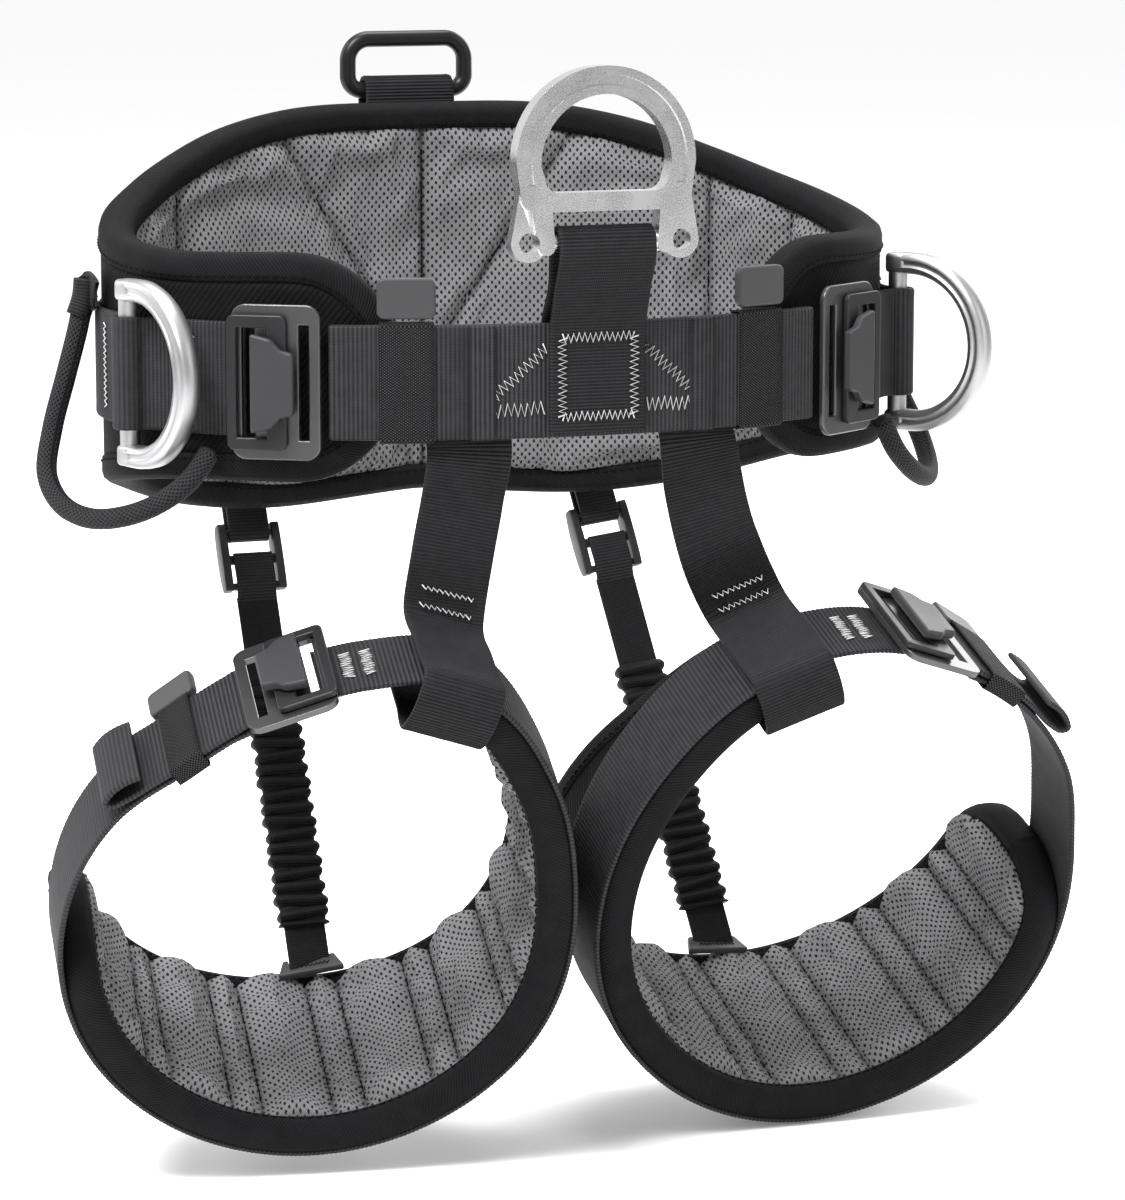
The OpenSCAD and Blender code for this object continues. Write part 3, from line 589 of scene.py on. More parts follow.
# ---- The waist ring, as in the frame ----

RX, RY = 160.0, 104.0
FOAM, WEB_T, FIT, SKIN = 8.0, 2.2, 0.4, 1.6
HALF_FOAM = FOAM / 2 + 0.1
FACE = HALF_FOAM + 0.3 + SKIN
UNDER = FACE + FIT + WEB_T / 2
STRAP_D = UNDER + WEB_T + FIT
TAIL_D = STRAP_D + WEB_T + FIT
BRIDGE_D = TAIL_D + 0.2
BELT_W, RISER_W, LEG_W, REAR_W = 45.0, 34.0, 44.0, 18.0
WING_END, END_ROUND = 153.0, 16.0
PAD_TOP, PAD_DROP, WING_TOP, WING_DROP = 95.0, 72.0, 49.0, 41.0
TOP_KEYS = [(0, PAD_TOP), (20, PAD_TOP - 1), (35, PAD_TOP - 8), (50, PAD_TOP - 20), (65, WING_TOP + 15),
            (90, WING_TOP + 3), (112, WING_TOP - 1), (135, WING_TOP), (180, WING_TOP)]
DROP_KEYS = [(0, -PAD_DROP), (25, -PAD_DROP - 4), (45, -PAD_DROP + 2), (70, -WING_DROP - 14),
             (95, -WING_DROP - 5), (120, -WING_DROP), (180, -WING_DROP)]


def waist_at(phi, z, off):
    """Point on the waist ring; phi is in degrees from the back, off from the padding's middle."""
    phi, z, off = np.broadcast_arrays(np.radians(phi), z, off)
    nx, ny = np.sin(phi) / RX, np.cos(phi) / RY
    k = np.hypot(nx, ny)
    return np.stack([RX * np.sin(phi) + off * nx / k, RY * np.cos(phi) + off * ny / k, z], -1)


def waist_out(phi):
    return unit([math.sin(math.radians(phi)) / RX, math.cos(math.radians(phi)) / RY, 0])


def belt_path(start, end, off):
    n = max(2, int(abs(end - start) / 2) + 1)
    return waist_at(np.linspace(start, end, n), 0, off)


class WaistBand:
    """The pad's own flat coordinates: s along it and a up it, both in millimetres."""

    def __init__(self):
        self.t = np.linspace(-WING_END, WING_END, 1225)
        self.s = lengths(waist_at(self.t, 0, 0))
        self.s -= self.s[-1] / 2

    def at(self, s, a, off):
        return waist_at(np.interp(s, self.s, self.t), a, off)

    def edges(self, t):
        t = np.abs(t)
        u = np.clip((t - WING_END + END_ROUND) / END_ROUND, 0, 1)
        mid = (WING_TOP - WING_DROP) / 2
        f = np.sqrt(1 - 0.96 * u * u)
        return mid + (curve_at(DROP_KEYS, t) - mid) * f, mid + (curve_at(TOP_KEYS, t) - mid) * f


# ---- The leg loops, as in the frame ----

LEG_X, LEG_Y, LEG_Z, LEG_DIP, LEG_PAD_TO = 110.0, 95.0, 197.0, 20.0, -172.0
NEAR_KEYS = [(-180, 18), (-150, 22), (40, 22), (70, 22)]
FAR_KEYS = [(-180, -50), (-160, -64), (-130, -80), (-90, -88), (-50, -76), (-15, -61), (15, -43),
            (40, -29), (70, -23)]
LEGS = {
    "left": dict(splay=9.0, places=(62, 98, 129, -82),
                 outline=[(-180, 93), (-135, 105), (-90, 111), (-45, 106), (0, 94), (30, 96), (60, 102),
                          (78, 92), (97, 83), (130, 77), (153, 85)]),
    "right": dict(splay=0.0, places=(68, 104, 126, -88),
                  outline=[(-180, 95), (-135, 113), (-90, 119), (-45, 109), (0, 96), (30, 91), (60, 92),
                           (90, 91), (115, 88), (140, 90), (160, 93)]),
}


class LegLoop:
    """A leg loop: t is an angle round it in degrees, a is across it and off is out of it, in millimetres."""

    def __init__(self, side):
        facts = LEGS[side]
        self.flip = side == "right"
        self.splay = math.radians(facts["splay"])
        self.riser, self.buckle, self.keeper, self.anchor = facts["places"]
        k = facts["outline"]
        self.keys = [(k[-1][0] - 360, k[-1][1])] + k + [(180, k[0][1]), (k[1][0] + 360, k[1][1])]
        self.pad_from = self.riser - 3
        self.t = np.linspace(LEG_PAD_TO, self.pad_from, 900)
        self.s = lengths(self.at_angle(self.t, 0, 0))

    def flat(self, t):
        turn = (np.asarray(t, float) + 540) % 360 - 180
        r = curve_at(self.keys, turn)
        return np.stack([r * np.cos(np.radians(t)), r * np.sin(np.radians(t))], -1)

    def normal(self, t):
        d = self.flat(np.asarray(t) + 1) - self.flat(np.asarray(t) - 1)
        d /= np.linalg.norm(d, axis=-1)[..., None]
        return np.stack([d[..., 1], -d[..., 0]], -1)

    def world(self, v):
        """From the loop's own frame to the saddle's, both in millimetres."""
        v = np.asarray(v, float)
        dip = math.radians(LEG_DIP)
        y = v[..., 1] * math.cos(dip) - v[..., 2] * math.sin(dip)
        z = v[..., 1] * math.sin(dip) + v[..., 2] * math.cos(dip)
        x = v[..., 0] * math.cos(self.splay) + y * math.sin(self.splay) - LEG_X
        y = y * math.cos(self.splay) - v[..., 0] * math.sin(self.splay) - LEG_Y
        out = np.stack([x, y, z - LEG_Z], -1)
        return mirrored(out) if self.flip else out

    def at_angle(self, t, a, off):
        t, a, off = np.broadcast_arrays(np.asarray(t, float), a, off)
        p = self.flat(t) + off[..., None] * self.normal(t)
        return self.world(np.stack([p[..., 0], -a, p[..., 1]], -1))

    def at(self, s, a, off):
        return self.at_angle(np.interp(s, self.s, self.t), a, off)

    def edges(self, t):
        u = np.clip(np.maximum((t - self.pad_from + 8) / 8, (LEG_PAD_TO + 14 - t) / 14), 0, 1)
        near, far = curve_at(NEAR_KEYS, t), curve_at(FAR_KEYS, t)
        mid, f = (near + far) / 2, np.sqrt(1 - 0.9 * u * u)
        return mid + (far - mid) * f, mid + (near - mid) * f

    def across(self, t=0.0):
        return unit(self.at_angle(t, 1, 0) - self.at_angle(t, 0, 0))

    def out(self, t):
        return unit(self.at_angle(t, 0, 1) - self.at_angle(t, 0, 0))

    def along(self, t):
        return unit(self.at_angle(t + 1, 0, 0) - self.at_angle(t - 1, 0, 0))


# ---- Pads ----


def band_outline(band):
    """Closed, evenly spaced and slightly smoothed outline of a pad in (s, a)."""
    low, high = band.edges(band.t)
    loop = np.concatenate([np.stack([band.s, high], 1), np.stack([band.s, low], 1)[::-1]])
    loop = np.concatenate([loop, loop[:1]])
    at = lengths(loop)
    n = int(at[-1] / 3)
    want = np.linspace(0, at[-1], n, endpoint=False)
    loop = lookup(want, at, loop)
    for _ in range(4):
        loop = (np.roll(loop, 1, 0) + 2 * loop + np.roll(loop, -1, 0)) / 4
    d = np.roll(loop, -1, 0) - np.roll(loop, 1, 0)
    d /= np.linalg.norm(d, axis=1)[:, None]
    return loop, np.stack([d[:, 1], -d[:, 0]], 1), want


def pad_binding(name, band, body, node, lap=10.6):
    """Folded tape round the pad's edge, with a row of stitches on both faces."""
    loop, inward, along = band_outline(band)
    inside = -FACE - 0.8
    section = [(lap, inside + 0.5), (lap - 0.4, inside - 0.5), (lap - 2, inside - 0.8), (4.6, inside - 0.9),
               (2.2, inside - 0.3), (0.4, inside + 2.2), (-0.5, -2.0), (-0.6, 1.0), (-0.1, 4.0),
               (1.6, FACE + 0.1), (4, FACE + 0.8), (8, FACE + 0.8), (10.2, FACE + 0.6), (10.6, FACE - 0.4)]
    rings = [band.at(*(loop + inward * depth).T, off) for depth, off in section]
    verts, faces = loft(np.stack(rings, 1), closed=True)
    u = lengths(np.array(section))
    uvs = np.stack([np.tile(u, len(loop)), np.repeat(along, len(section))], 1)
    make(name, verts, faces, TWILL, body, uvs=uvs, replaces=node, slot="binding")
    rows = []
    for off, sign, depth in ((inside - 0.85, -1, lap - 2), (FACE + 0.85, 1, 8.4)):
        q = loop + inward * depth
        q = np.concatenate([q, q[:1]])
        path = band.at(*q.T, off)
        rows += running_stitch(path, band.at(*q.T, off + sign) - path)
    threads(name + "_stitching", rows, body, BLACK_THREAD, 0.28)


def pad_grid(band, inset, step):
    """Columns of (s, a) points that fill the pad's outline, inset by some millimetres."""
    loop, inward, _ = band_outline(band)
    q = loop + inward * inset
    start, stop = q[:, 0].argmin(), q[:, 0].argmax()

    def part(first, last):
        return np.take(q, range(first, last + 1 + (0 if last > first else len(q))), axis=0, mode="wrap")

    parts = [part(start, stop), part(stop, start)[::-1]]
    s0, s1 = q[start, 0] + 0.8, q[stop, 0] - 0.8
    columns = s0 + (s1 - s0) * np.linspace(0, 1, int((s1 - s0) / step))
    sides = sorted((np.interp(columns, p[:, 0], p[:, 1]) for p in parts), key=lambda c: c.mean())
    return columns, sides[0], sides[1]


def relax(piece, pins, frames=16, pressure=2.0, cap=0.004):
    """Lets a panel settle as cloth, held along its seams; cap is the furthest that a point may move."""
    mesh = piece.data
    rest = np.array([v.co for v in mesh.vertices])
    group = piece.vertex_groups.new(name="pin")
    for weight in sorted(set(np.round(pins, 2))):
        if weight > 0:
            group.add([int(i) for i in np.where(np.round(pins, 2) == weight)[0]], float(weight), "REPLACE")
    cloth = piece.modifiers.new("cloth", "CLOTH")
    c = cloth.settings
    c.quality = 5
    c.mass = 0.15
    c.tension_stiffness = c.compression_stiffness = 12
    c.shear_stiffness = 4
    c.bending_stiffness = 0.25
    c.use_pressure = True
    c.uniform_pressure_force = pressure
    c.shrink_min = -0.045
    c.vertex_group_mass = "pin"
    c.effector_weights.gravity = 0
    cloth.collision_settings.use_collision = False
    cloth.collision_settings.use_self_collision = False
    scene = bpy.context.scene
    for f in range(1, frames + 1):
        scene.frame_set(f)
    shape = piece.evaluated_get(bpy.context.evaluated_depsgraph_get()).to_mesh()
    now = np.array([v.co for v in shape.vertices])
    piece.modifiers.remove(cloth)
    piece.vertex_groups.clear()
    scene.frame_set(1)
    move = now - rest
    far = np.linalg.norm(move, axis=1)
    move *= (cap * np.tanh(far / cap) / np.maximum(far, 1e-9))[:, None]
    move[~np.isfinite(move).all(1)] = 0
    mesh.vertices.foreach_set("co", (rest + move).ravel())
    mesh.update()


def liner(name, band, body, node, seams, depth, step, over=0.0, inset=8.8):
    """Quilted mesh liner, crowned by depth between its seams and then settled as cloth.

    Over is how far its lower edge swells past the binding between the seams, in scallops.
    """
    columns, low, high = pad_grid(band, inset, step)
    rows = max(8, int((high - low).max() / 3.6))
    v = np.linspace(0, 1, rows)
    s = np.repeat(columns, rows).reshape(-1, rows)
    a = low[:, None] + (high - low)[:, None] * v[None, :]
    gap = np.min([np.abs(s - seam(a)) for seam in seams], axis=0)
    ends = np.minimum(s - columns[0], columns[-1] - s)
    bulge = np.clip(np.minimum(gap, ends) / 11, 0, 1) ** 0.6 * (over > 0)
    far = np.clip((a - low[:, None]) / 9.0, 0, 1) ** 0.55
    edge = np.minimum(np.minimum(a - low[:, None], high[:, None] - a), ends)
    rim = np.clip(np.minimum(high[:, None] - a, ends) / 9.0, 0, 1) ** 0.55
    wide = np.clip(gap / 15.5, 0, 1)
    crown = np.sqrt(np.clip(gap / 8.0, 0, 1)) * (0.5 + 0.6 * wide) * rim * far
    off = -FACE + 1.4 - depth * crown - 3.4 * bulge * rim * (1 - far)
    a = a - over * bulge * (1 - v[None, :]) ** 4
    points = band.at(s, a, off)
    sheet = make(name, points.reshape(-1, 3), grid_faces(*s.shape), MESH, None,
                 uvs=np.stack([a.ravel(), s.ravel()], 1))
    inner = band.at(s, a, off - 1) - points
    normals = np.zeros(len(sheet.data.vertices) * 3)
    sheet.data.vertices.foreach_get("normal", normals)
    if (normals.reshape(-1, 3) * inner.reshape(-1, 3)).sum() < 0:
        sheet.data.flip_normals()
    pins = np.clip(np.maximum(1 - gap / 1.6, 1 - edge / 2.0), 0, 1) ** 0.5
    relax(sheet, pins.ravel())
    # Painted shade for the mesh material: darkest on the quilting seams, and at 0.6 of that along the
    # liner's edges.
    shade = sheet.data.attributes.new("crease_shade", "FLOAT", "POINT")
    dark = np.maximum(np.exp(-gap / 1.6), 0.6 * np.exp(-edge / 1.5))
    shade.data.foreach_set("value", dark.astype(np.float32).ravel())
    back = band.at(s, a, -HALF_FOAM - 0.2).reshape(-1, 3) * MM
    bm = bmesh.new()
    bm.from_mesh(sheet.data)
    uv = bm.loops.layers.uv["mm"]
    twin = [bm.verts.new(p) for p in back]
    bm.verts.index_update()
    bm.verts.ensure_lookup_table()
    hem = rim_of(*s.shape)
    made = [bm.faces.new([twin[v.index] for v in reversed(f.verts)]) for f in list(bm.faces)]
    made += [bm.faces.new((bm.verts[i], bm.verts[j], twin[j], twin[i]))
             for i, j in zip(hem, hem[1:] + hem[:1])]
    for face in made:
        face.smooth = True
        for loop in face.loops:
            loop[uv].uv = (loop.vert.co.z / MM, loop.vert.co.x / MM)
    bmesh.ops.recalc_face_normals(bm, faces=bm.faces)
    bm.to_mesh(sheet.data)
    bm.free()
    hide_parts(node)
    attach(sheet, body)
    rows = []
    for seam in seams:
        up = np.linspace(low.min() + 10, high.max() - 10, 60)
        here = seam(up)
        keep = (up > np.interp(here, columns, low) + 1) & (up < np.interp(here, columns, high) - 1)
        if keep.sum() > 4:
            path = band.at(here[keep], up[keep], -FACE + 1.0)
            rows += running_stitch(path, band.at(here[keep], up[keep], -FACE) - path, 2.4, 1.0, 0.35)
    threads(name + "_seams", rows, body, BLACK_THREAD, 0.4)


def cover(name, band, body, node):
    """Outer cloth of a pad: thin, slightly crowned, hemmed under the binding."""
    columns, low, high = pad_grid(band, 9.0, 4.0)
    v = np.linspace(0, 1, 15)
    s = np.repeat(columns, len(v)).reshape(-1, len(v))
    a = low[:, None] + (high - low)[:, None] * v[None, :]
    crown = 0.35 * np.sin(np.pi * v)[None, :] * np.ones_like(s)
    ripple = 0.12 * np.sin(s / 7.3) * np.sin(np.pi * v)[None, :] ** 2
    front = band.at(s, a, FACE - 0.1 + crown * 0.5 + ripple)
    back = band.at(s, a, HALF_FOAM + 0.3)
    faces = grid_faces(*s.shape)
    hem, k = rim_of(*s.shape), s.size
    faces += [tuple(i + k for i in reversed(f)) for f in faces]
    faces += [(i, j, j + k, i + k) for i, j in zip(hem, hem[1:] + hem[:1])]
    uv = np.stack([a.ravel(), s.ravel()], 1)
    make(name, np.concatenate([front.reshape(-1, 3), back.reshape(-1, 3)]), faces, COVER, body,
         uvs=np.concatenate([uv, uv]), replaces=node, slot="pad_cover")


def pad_foam(node):
    """The foam core stays as its CAD solid, sealed inside the pad."""
    frame["nodes"][node].data.materials.clear()
    frame["nodes"][node].data.materials.append(FOAM_MAT)


FOAM_MAT = metal_material("closed_cell_foam", (0.05, 0.05, 0.052), 0.85, 2.2, metal=0.0)

waist = WaistBand()
legs = {side: LegLoop(side) for side in LEGS}


def slanted(side):
    """Seam that leaves the top edge 27 degrees from the back and leans to the middle below."""
    def seam(a):
        t = np.clip(27 - 0.24 * (92 - a), 2.5, 27) * side
        return np.interp(t, waist.t, waist.s)
    return seam


def upright(s):
    """Seam straight across the pad at s."""
    return lambda a: np.full(np.shape(a), float(s))


def leg_seams(leg, narrow=14.0, wide=31.0):
    """Seams from the middle of the pad outwards, with narrow and wide channels in turn."""
    middle = float(np.interp(-92, leg.t, leg.s))
    marks = []
    for way, limit in ((1, leg.s[-1] - narrow), (-1, narrow)):
        place, gap = middle + way * wide / 2, narrow
        while way * place < way * limit:
            marks.append(place)
            place += way * gap
            gap = narrow + wide - gap
    return [upright(mark) for mark in marks]


upright_seams = [upright(np.interp(t, waist.t, waist.s)) for t in (0, -50, 50, -70, 70, -108, 108)]
waist_seams = upright_seams[:1] + [slanted(-1), slanted(1)] + upright_seams[1:]
liner("waist_liner_quilted", waist, "saddle", "waist_mesh_liner", waist_seams, 5.0, 2.0)
cover("waist_cover_cloth", waist, "saddle", "waist_outer_shell")
pad_binding("waist_binding_tape", waist, "saddle", "waist_edge_binding")
pad_foam("waist_foam_core")

for side, leg in legs.items():
    body = f"{side}_leg"
    liner(f"{body}_liner_quilted", leg, body, f"{body}_mesh_liner", leg_seams(leg), 6.6, 1.4,
          over=4.5, inset=5.8)
    cover(f"{body}_cover_cloth", leg, body, f"{body}_outer_shell")
    pad_binding(f"{body}_binding_tape", leg, body, f"{body}_edge_binding", 7.6)
    pad_foam(f"{body}_foam_core")

# ---- Belt ----

strap("back_belt", belt_path(-72, 72, UNDER), Z_AXIS, BELT_W, "saddle", replaces="back_belt_webbing")
strap("front_bridge", belt_path(165, 195, BRIDGE_D), Z_AXIS, BELT_W, "saddle",
      replaces="front_bridge_webbing")

SIDE_PHI, SIDE_D = 106.0, FACE + 7.6


def both_sides(build):
    for side, sign in (("left", -1), ("right", 1)):
        build(side, sign)


def flipped(path, sign):
    """Paths are laid out for the side on -X; the other side is their mirror image."""
    return np.asarray(path, float) if sign < 0 else mirrored(path)


def side_webbing(side, sign):
    """Webbing over the pad's side, with a loop round the side ring's pin."""
    r = 4 + 0.6 + WEB_T / 2
    pin = waist_at(-SIDE_PHI, 0, SIDE_D)
    n = waist_out(-SIDE_PHI)
    along = np.array([-n[1], n[0], 0])
    path = ([waist_at(p, 0, UNDER) for p in np.arange(-76, -SIDE_PHI + 6.9, -4)]
            + [pin + r * (sine * n - cosine * along) for sine, cosine in map(turned, range(-15, 196, 30))]
            + [waist_at(p, 0, UNDER) for p in np.arange(-SIDE_PHI - 7, -129.1, -4)])
    strap(f"{side}_side_belt", flipped(path, sign), Z_AXIS, BELT_W, "saddle",
          replaces=f"{side}_side_webbing")


def belt_strap(side, sign):
    """Front strap: under the bridge, folded back at the buckle, with a rolled hem."""
    fold = 143.6
    low = [waist_at(p, 0, STRAP_D) for p in np.arange(-179.6, -fold + 0.1, 4)]
    turn = [waist_at(-fold + 0.5 * sine, 0, (STRAP_D + TAIL_D) / 2 - cosine * (TAIL_D - STRAP_D) / 2)
            for sine, cosine in map(turned, range(0, 181, 45))]
    high = [waist_at(p, 0, TAIL_D) for p in np.arange(-fold - 3, -163.1, -4)]
    curl = ((-165.2, 0.3), (-166, 1.6), (-165, 2.5), (-162.6, 2.4))
    hem = [waist_at(phi, 0, TAIL_D + up) for phi, up in curl]
    strap(f"{side}_front_strap", flipped(low + turn + high + hem, sign), Z_AXIS, BELT_W, "saddle",
          replaces=f"{side}_belt_strap")


def sleeve(name, place, low, high, half, stations, length, body):
    """Woven elastic tube of flat section round a strap; place(station, across, depth) gives its points."""
    corner = 1.5
    section = []
    for depth, across, start in ((high - corner, half - corner, 0), (low + corner, half - corner, 90),
                                 (low + corner, -half + corner, 180), (high - corner, -half + corner, 270)):
        section += [(depth + corner * cosine, across + corner * sine)
                    for sine, cosine in map(turned, range(start, start + 91, 30))]
    section = np.array(section)
    wall = 0.7
    inner = np.clip(section, (low + wall, -half + wall), (high - wall, half - wall))
    rings = [place(t, ring[:, 1], ring[:, 0])
             for ring, order in ((section, stations), (inner, stations[::-1])) for t in order]
    verts, faces = loft(rings, closed=True)
    along = np.linspace(0, length, len(stations))
    uvs = np.stack([np.tile(lengths(section), len(rings)),
                    np.repeat(np.concatenate([along, along[::-1]]), len(section))], 1)
    make(f"{name}_sleeve", verts, faces, ELASTIC, body, uvs=uvs, replaces=name, slot="elastic")


def keeper(side, sign):
    """Belt keeper: a sleeve with its moulded clip."""
    name = f"{side}_belt_keeper"
    sleeve(name, lambda phi, z, off: flipped(waist_at(phi, z, off), sign), STRAP_D - WEB_T / 2 - 1.2,
           TAIL_D + WEB_T / 2 + 1.2, BELT_W / 2 + 1.2, np.linspace(-154 - 3.8, -154 + 3.8, 9), 20, name)
    bevelled(f"{side}_keeper_clip", PLASTIC, 1.2)


both_sides(side_webbing)
both_sides(belt_strap)
both_sides(keeper)

# ---- Rings ----


def side_d_ring(side):
    """Forged D: a grooved bar bent to an arch, block ends and the pin that the webbing goes round."""
    node, body = f"{side}_side_d_ring", f"{side}_side_ring"
    origin = waist_at(SIDE_PHI * (1 if side == "right" else -1), 0, SIDE_D)
    points = np.array([v.co for v in frame["nodes"][node].data.vertices]) / MM - origin
    flat = points[np.abs(points[:, 2]) < 8]
    reach = np.hypot(flat[:, 0], flat[:, 1])
    out = unit([*flat[reach > reach.max() - 2.5][:, :2].mean(0), 0])
    arch = 33.0
    plan = ([(1, arch), (5, arch)]
            + [(8 + arch * sine, arch * cosine) for sine, cosine in map(turned, range(0, 181, 6))]
            + [(5, -arch), (1, -arch)])
    path = resample([origin + x * out + z * Z_AXIS for x, z in plan], 1.2)
    t = tangents(path)
    lateral = np.cross(out, Z_AXIS)
    radial = np.cross(t, lateral)
    half = [(4.5, 0), (4.3, 2.4), (3.4, 4.0), (1.6, 4.5), (0.9, 3.7), (-0.7, 3.7), (-1.4, 4.4),
            (-3.2, 4.2), (-4.3, 2.6), (-4.5, 0)]
    section = half + [(x, -y) for x, y in half[-2:0:-1]]
    rings = np.stack([path + x * radial + y * lateral for x, y in section], 1)
    verts, faces = loft(rings)
    ring = make(f"{side}_ring_arch", verts, faces, SATIN, body, replaces=node, slot="polished_aluminium")
    ring.data.set_sharp_from_angle(angle=math.radians(50))
    tube(f"{side}_ring_pin", [origin - arch * Z_AXIS, origin + arch * Z_AXIS], 4.0, body, SATIN, sides=24)
    square = [(-4.2, -4.4), (5.6, -4.4), (5.6, 4.4), (-4.2, 4.4)]
    for end, z in (("upper", arch), ("lower", -arch)):
        prism(f"{side}_ring_{end}_block", square, 8.4, (origin + z * Z_AXIS, out, lateral, Z_AXIS),
              SATIN, body, 1.8)


bevelled("ventral_d_ring", ALUMINIUM, 0.9)
bevelled("rear_ring", BLACK_PAINT, 0)
for side in LEGS:
    side_d_ring(side)

RING_Y, RING_Z, REAR_Y, REAR_Z = -(RY + 22), 54.5, RY + 15, PAD_TOP + 5
r = 4 + 0.6 + WEB_T / 2
front, back = -(RY + BRIDGE_D + WEB_T + FIT), -(RY + UNDER - 0.9)
over_bar = [(0, RING_Y - r * cosine, RING_Z + r * sine) for sine, cosine in map(turned, range(0, 181, 30))]
loop_path = ([(0, front, -BELT_W / 2 + 2), (0, front, 0), (0, front, 18), (0, (front + RING_Y) / 2 - 2, 34)]
             + over_bar
             + [(0, (back + RING_Y) / 2, 37), (0, back, 23), (0, back, 0), (0, back, -BELT_W / 2 + 2)])
strap("ventral_loop", loop_path, X_AXIS, 40, "saddle", replaces="ventral_loop_webbing", **FINE)

r = 3.5 + 0.6 + WEB_T / 2
inner, outer = RY + UNDER, RY + UNDER + WEB_T + FIT
over_bar = [(0, REAR_Y - r * cosine, REAR_Z + r * sine) for sine, cosine in map(turned, range(0, 181, 30))]
rear_path = ([(0, inner, BELT_W / 2 + 4), (0, inner, PAD_TOP - 22), (0, REAR_Y - r - 0.5, PAD_TOP - 6)]
             + over_bar
             + [(0, REAR_Y + r - 1, PAD_TOP - 8), (0, outer, PAD_TOP - 26), (0, outer, BELT_W / 2 + 4)])
strap("rear_ring_loop", rear_path, X_AXIS, 40, "saddle", replaces="rear_ring_webbing", **FINE)

# ---- Buckles ----

for side in LEGS:
    for place in ("waist", "leg"):
        bevelled(f"{side}_{place}_buckle_frame", ANODISED, 0.8)
        bevelled(f"{side}_{place}_buckle_hook", HOOK, 0.7)
        bevelled(f"{side}_{place}_buckle_cover", RUBBER, 1.2)

# ---- Leg loops: webbing ----

LEG_UNDER, LEG_TAIL = UNDER, STRAP_D
REAR_FROM = np.array([-80, 102.8, -78])

for side, leg in legs.items():
    body, sign = f"{side}_leg", 1 if leg.flip else -1
    fold, tail = leg.buckle + 10.8 - 360, leg.keeper + 14 - 360
    low = [leg.at_angle(t, 0, LEG_UNDER) for t in np.arange(leg.riser - 7, fold + 2, -5)]
    middle, gap = (LEG_UNDER + LEG_TAIL) / 2, LEG_TAIL - LEG_UNDER
    turn = [leg.at_angle(fold - 0.7 * sine, 0, middle - cosine * gap / 2)
            for sine, cosine in map(turned, range(0, 181, 45))]
    high = [leg.at_angle(t, 0, LEG_TAIL) for t in np.arange(fold + 4, tail + 0.1, 5)]
    curl = ((5, 0.8), (8, 3.0), (8.5, 5.4), (6, 7.2), (2, 7.0), (-1, 5.8))
    high += [leg.at_angle(tail + k, 0, LEG_TAIL + up) for k, up in curl]
    strap(f"{side}_leg_webbing", low + turn + high, leg.across(), LEG_W - 2, body,
          replaces=f"{side}_leg_strap")
    hook = [leg.at_angle(t, 0, LEG_UNDER) for t in np.linspace(leg.riser - 6, leg.buckle - 7.5, 9)]
    strap(f"{side}_leg_hook_strap", hook, leg.across(), 36, body, replaces=f"{side}_leg_hook_webbing")

    out_d, back_d = LEG_UNDER + WEB_T + FIT + 0.4, -FACE - 0.8 - FIT - WEB_T / 2 - 4.4
    near, far = LEG_W / 2 + 3, -29
    q = [(out_d, far), (out_d, -8), (out_d, 8), (out_d, near - 2), ((out_d + back_d) / 2 + 4, near + 1.6),
         ((out_d + back_d) / 2 - 4, near + 1.6), (back_d, near - 2), (back_d, 8), (back_d, -8),
         (back_d, far + 3)]
    wrap = [leg.at_angle(leg.riser, a, d) for d, a in q]
    top = np.array([48 * sign, -(RY + 1), -27.0])
    lean = np.array([sign, 1, 1])
    drop = [top, top + np.array([3, 0, -20]) * lean, top + np.array([8, -2, -42]) * lean]
    path = [top + np.array([0, 8.5, 28]), top + np.array([0, 7, 14])] + drop + wrap
    side_at_leg = leg.along(leg.riser) * sign
    behind = unit(X_AXIS + np.array([0, 0.26 * sign, 0]))
    across = [behind, behind, unit(X_AXIS + behind), X_AXIS, unit(0.6 * X_AXIS + 0.4 * side_at_leg)]
    across += [side_at_leg] * len(wrap)
    riser = strap(f"{side}_riser", path, across, RISER_W, None, replaces=f"{side}_leg_riser", **FINE)
    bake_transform(riser)
    n = leg.out(leg.riser)
    up = unit(drop[-1] - wrap[0])
    rows = []
    for lift in (7.0, 14.0):
        middle = wrap[0] + up * (lift - 5) + n * (WEB_T / 2 + 0.2)
        rows.append(zigzag([middle - side_at_leg * 11, middle + side_at_leg * 11], n, 1.2, 3.4))
    threads(f"{side}_riser_stitches", rows, body)

# ---- Leg keepers, small fittings ----


def rear_frame(side, leg):
    """Rear strap's start, its length, and the directions down it, across it and out of it."""
    target = leg.at_angle(leg.anchor, curve_at(FAR_KEYS, leg.anchor) + 4, -FACE - 6.9)
    start = REAR_FROM if side == "left" else mirrored(REAR_FROM)
    down = unit(target - start)
    across = unit(X_AXIS - down[0] * down)
    return start, np.linalg.norm(target - start), down, across, np.cross(across, down)


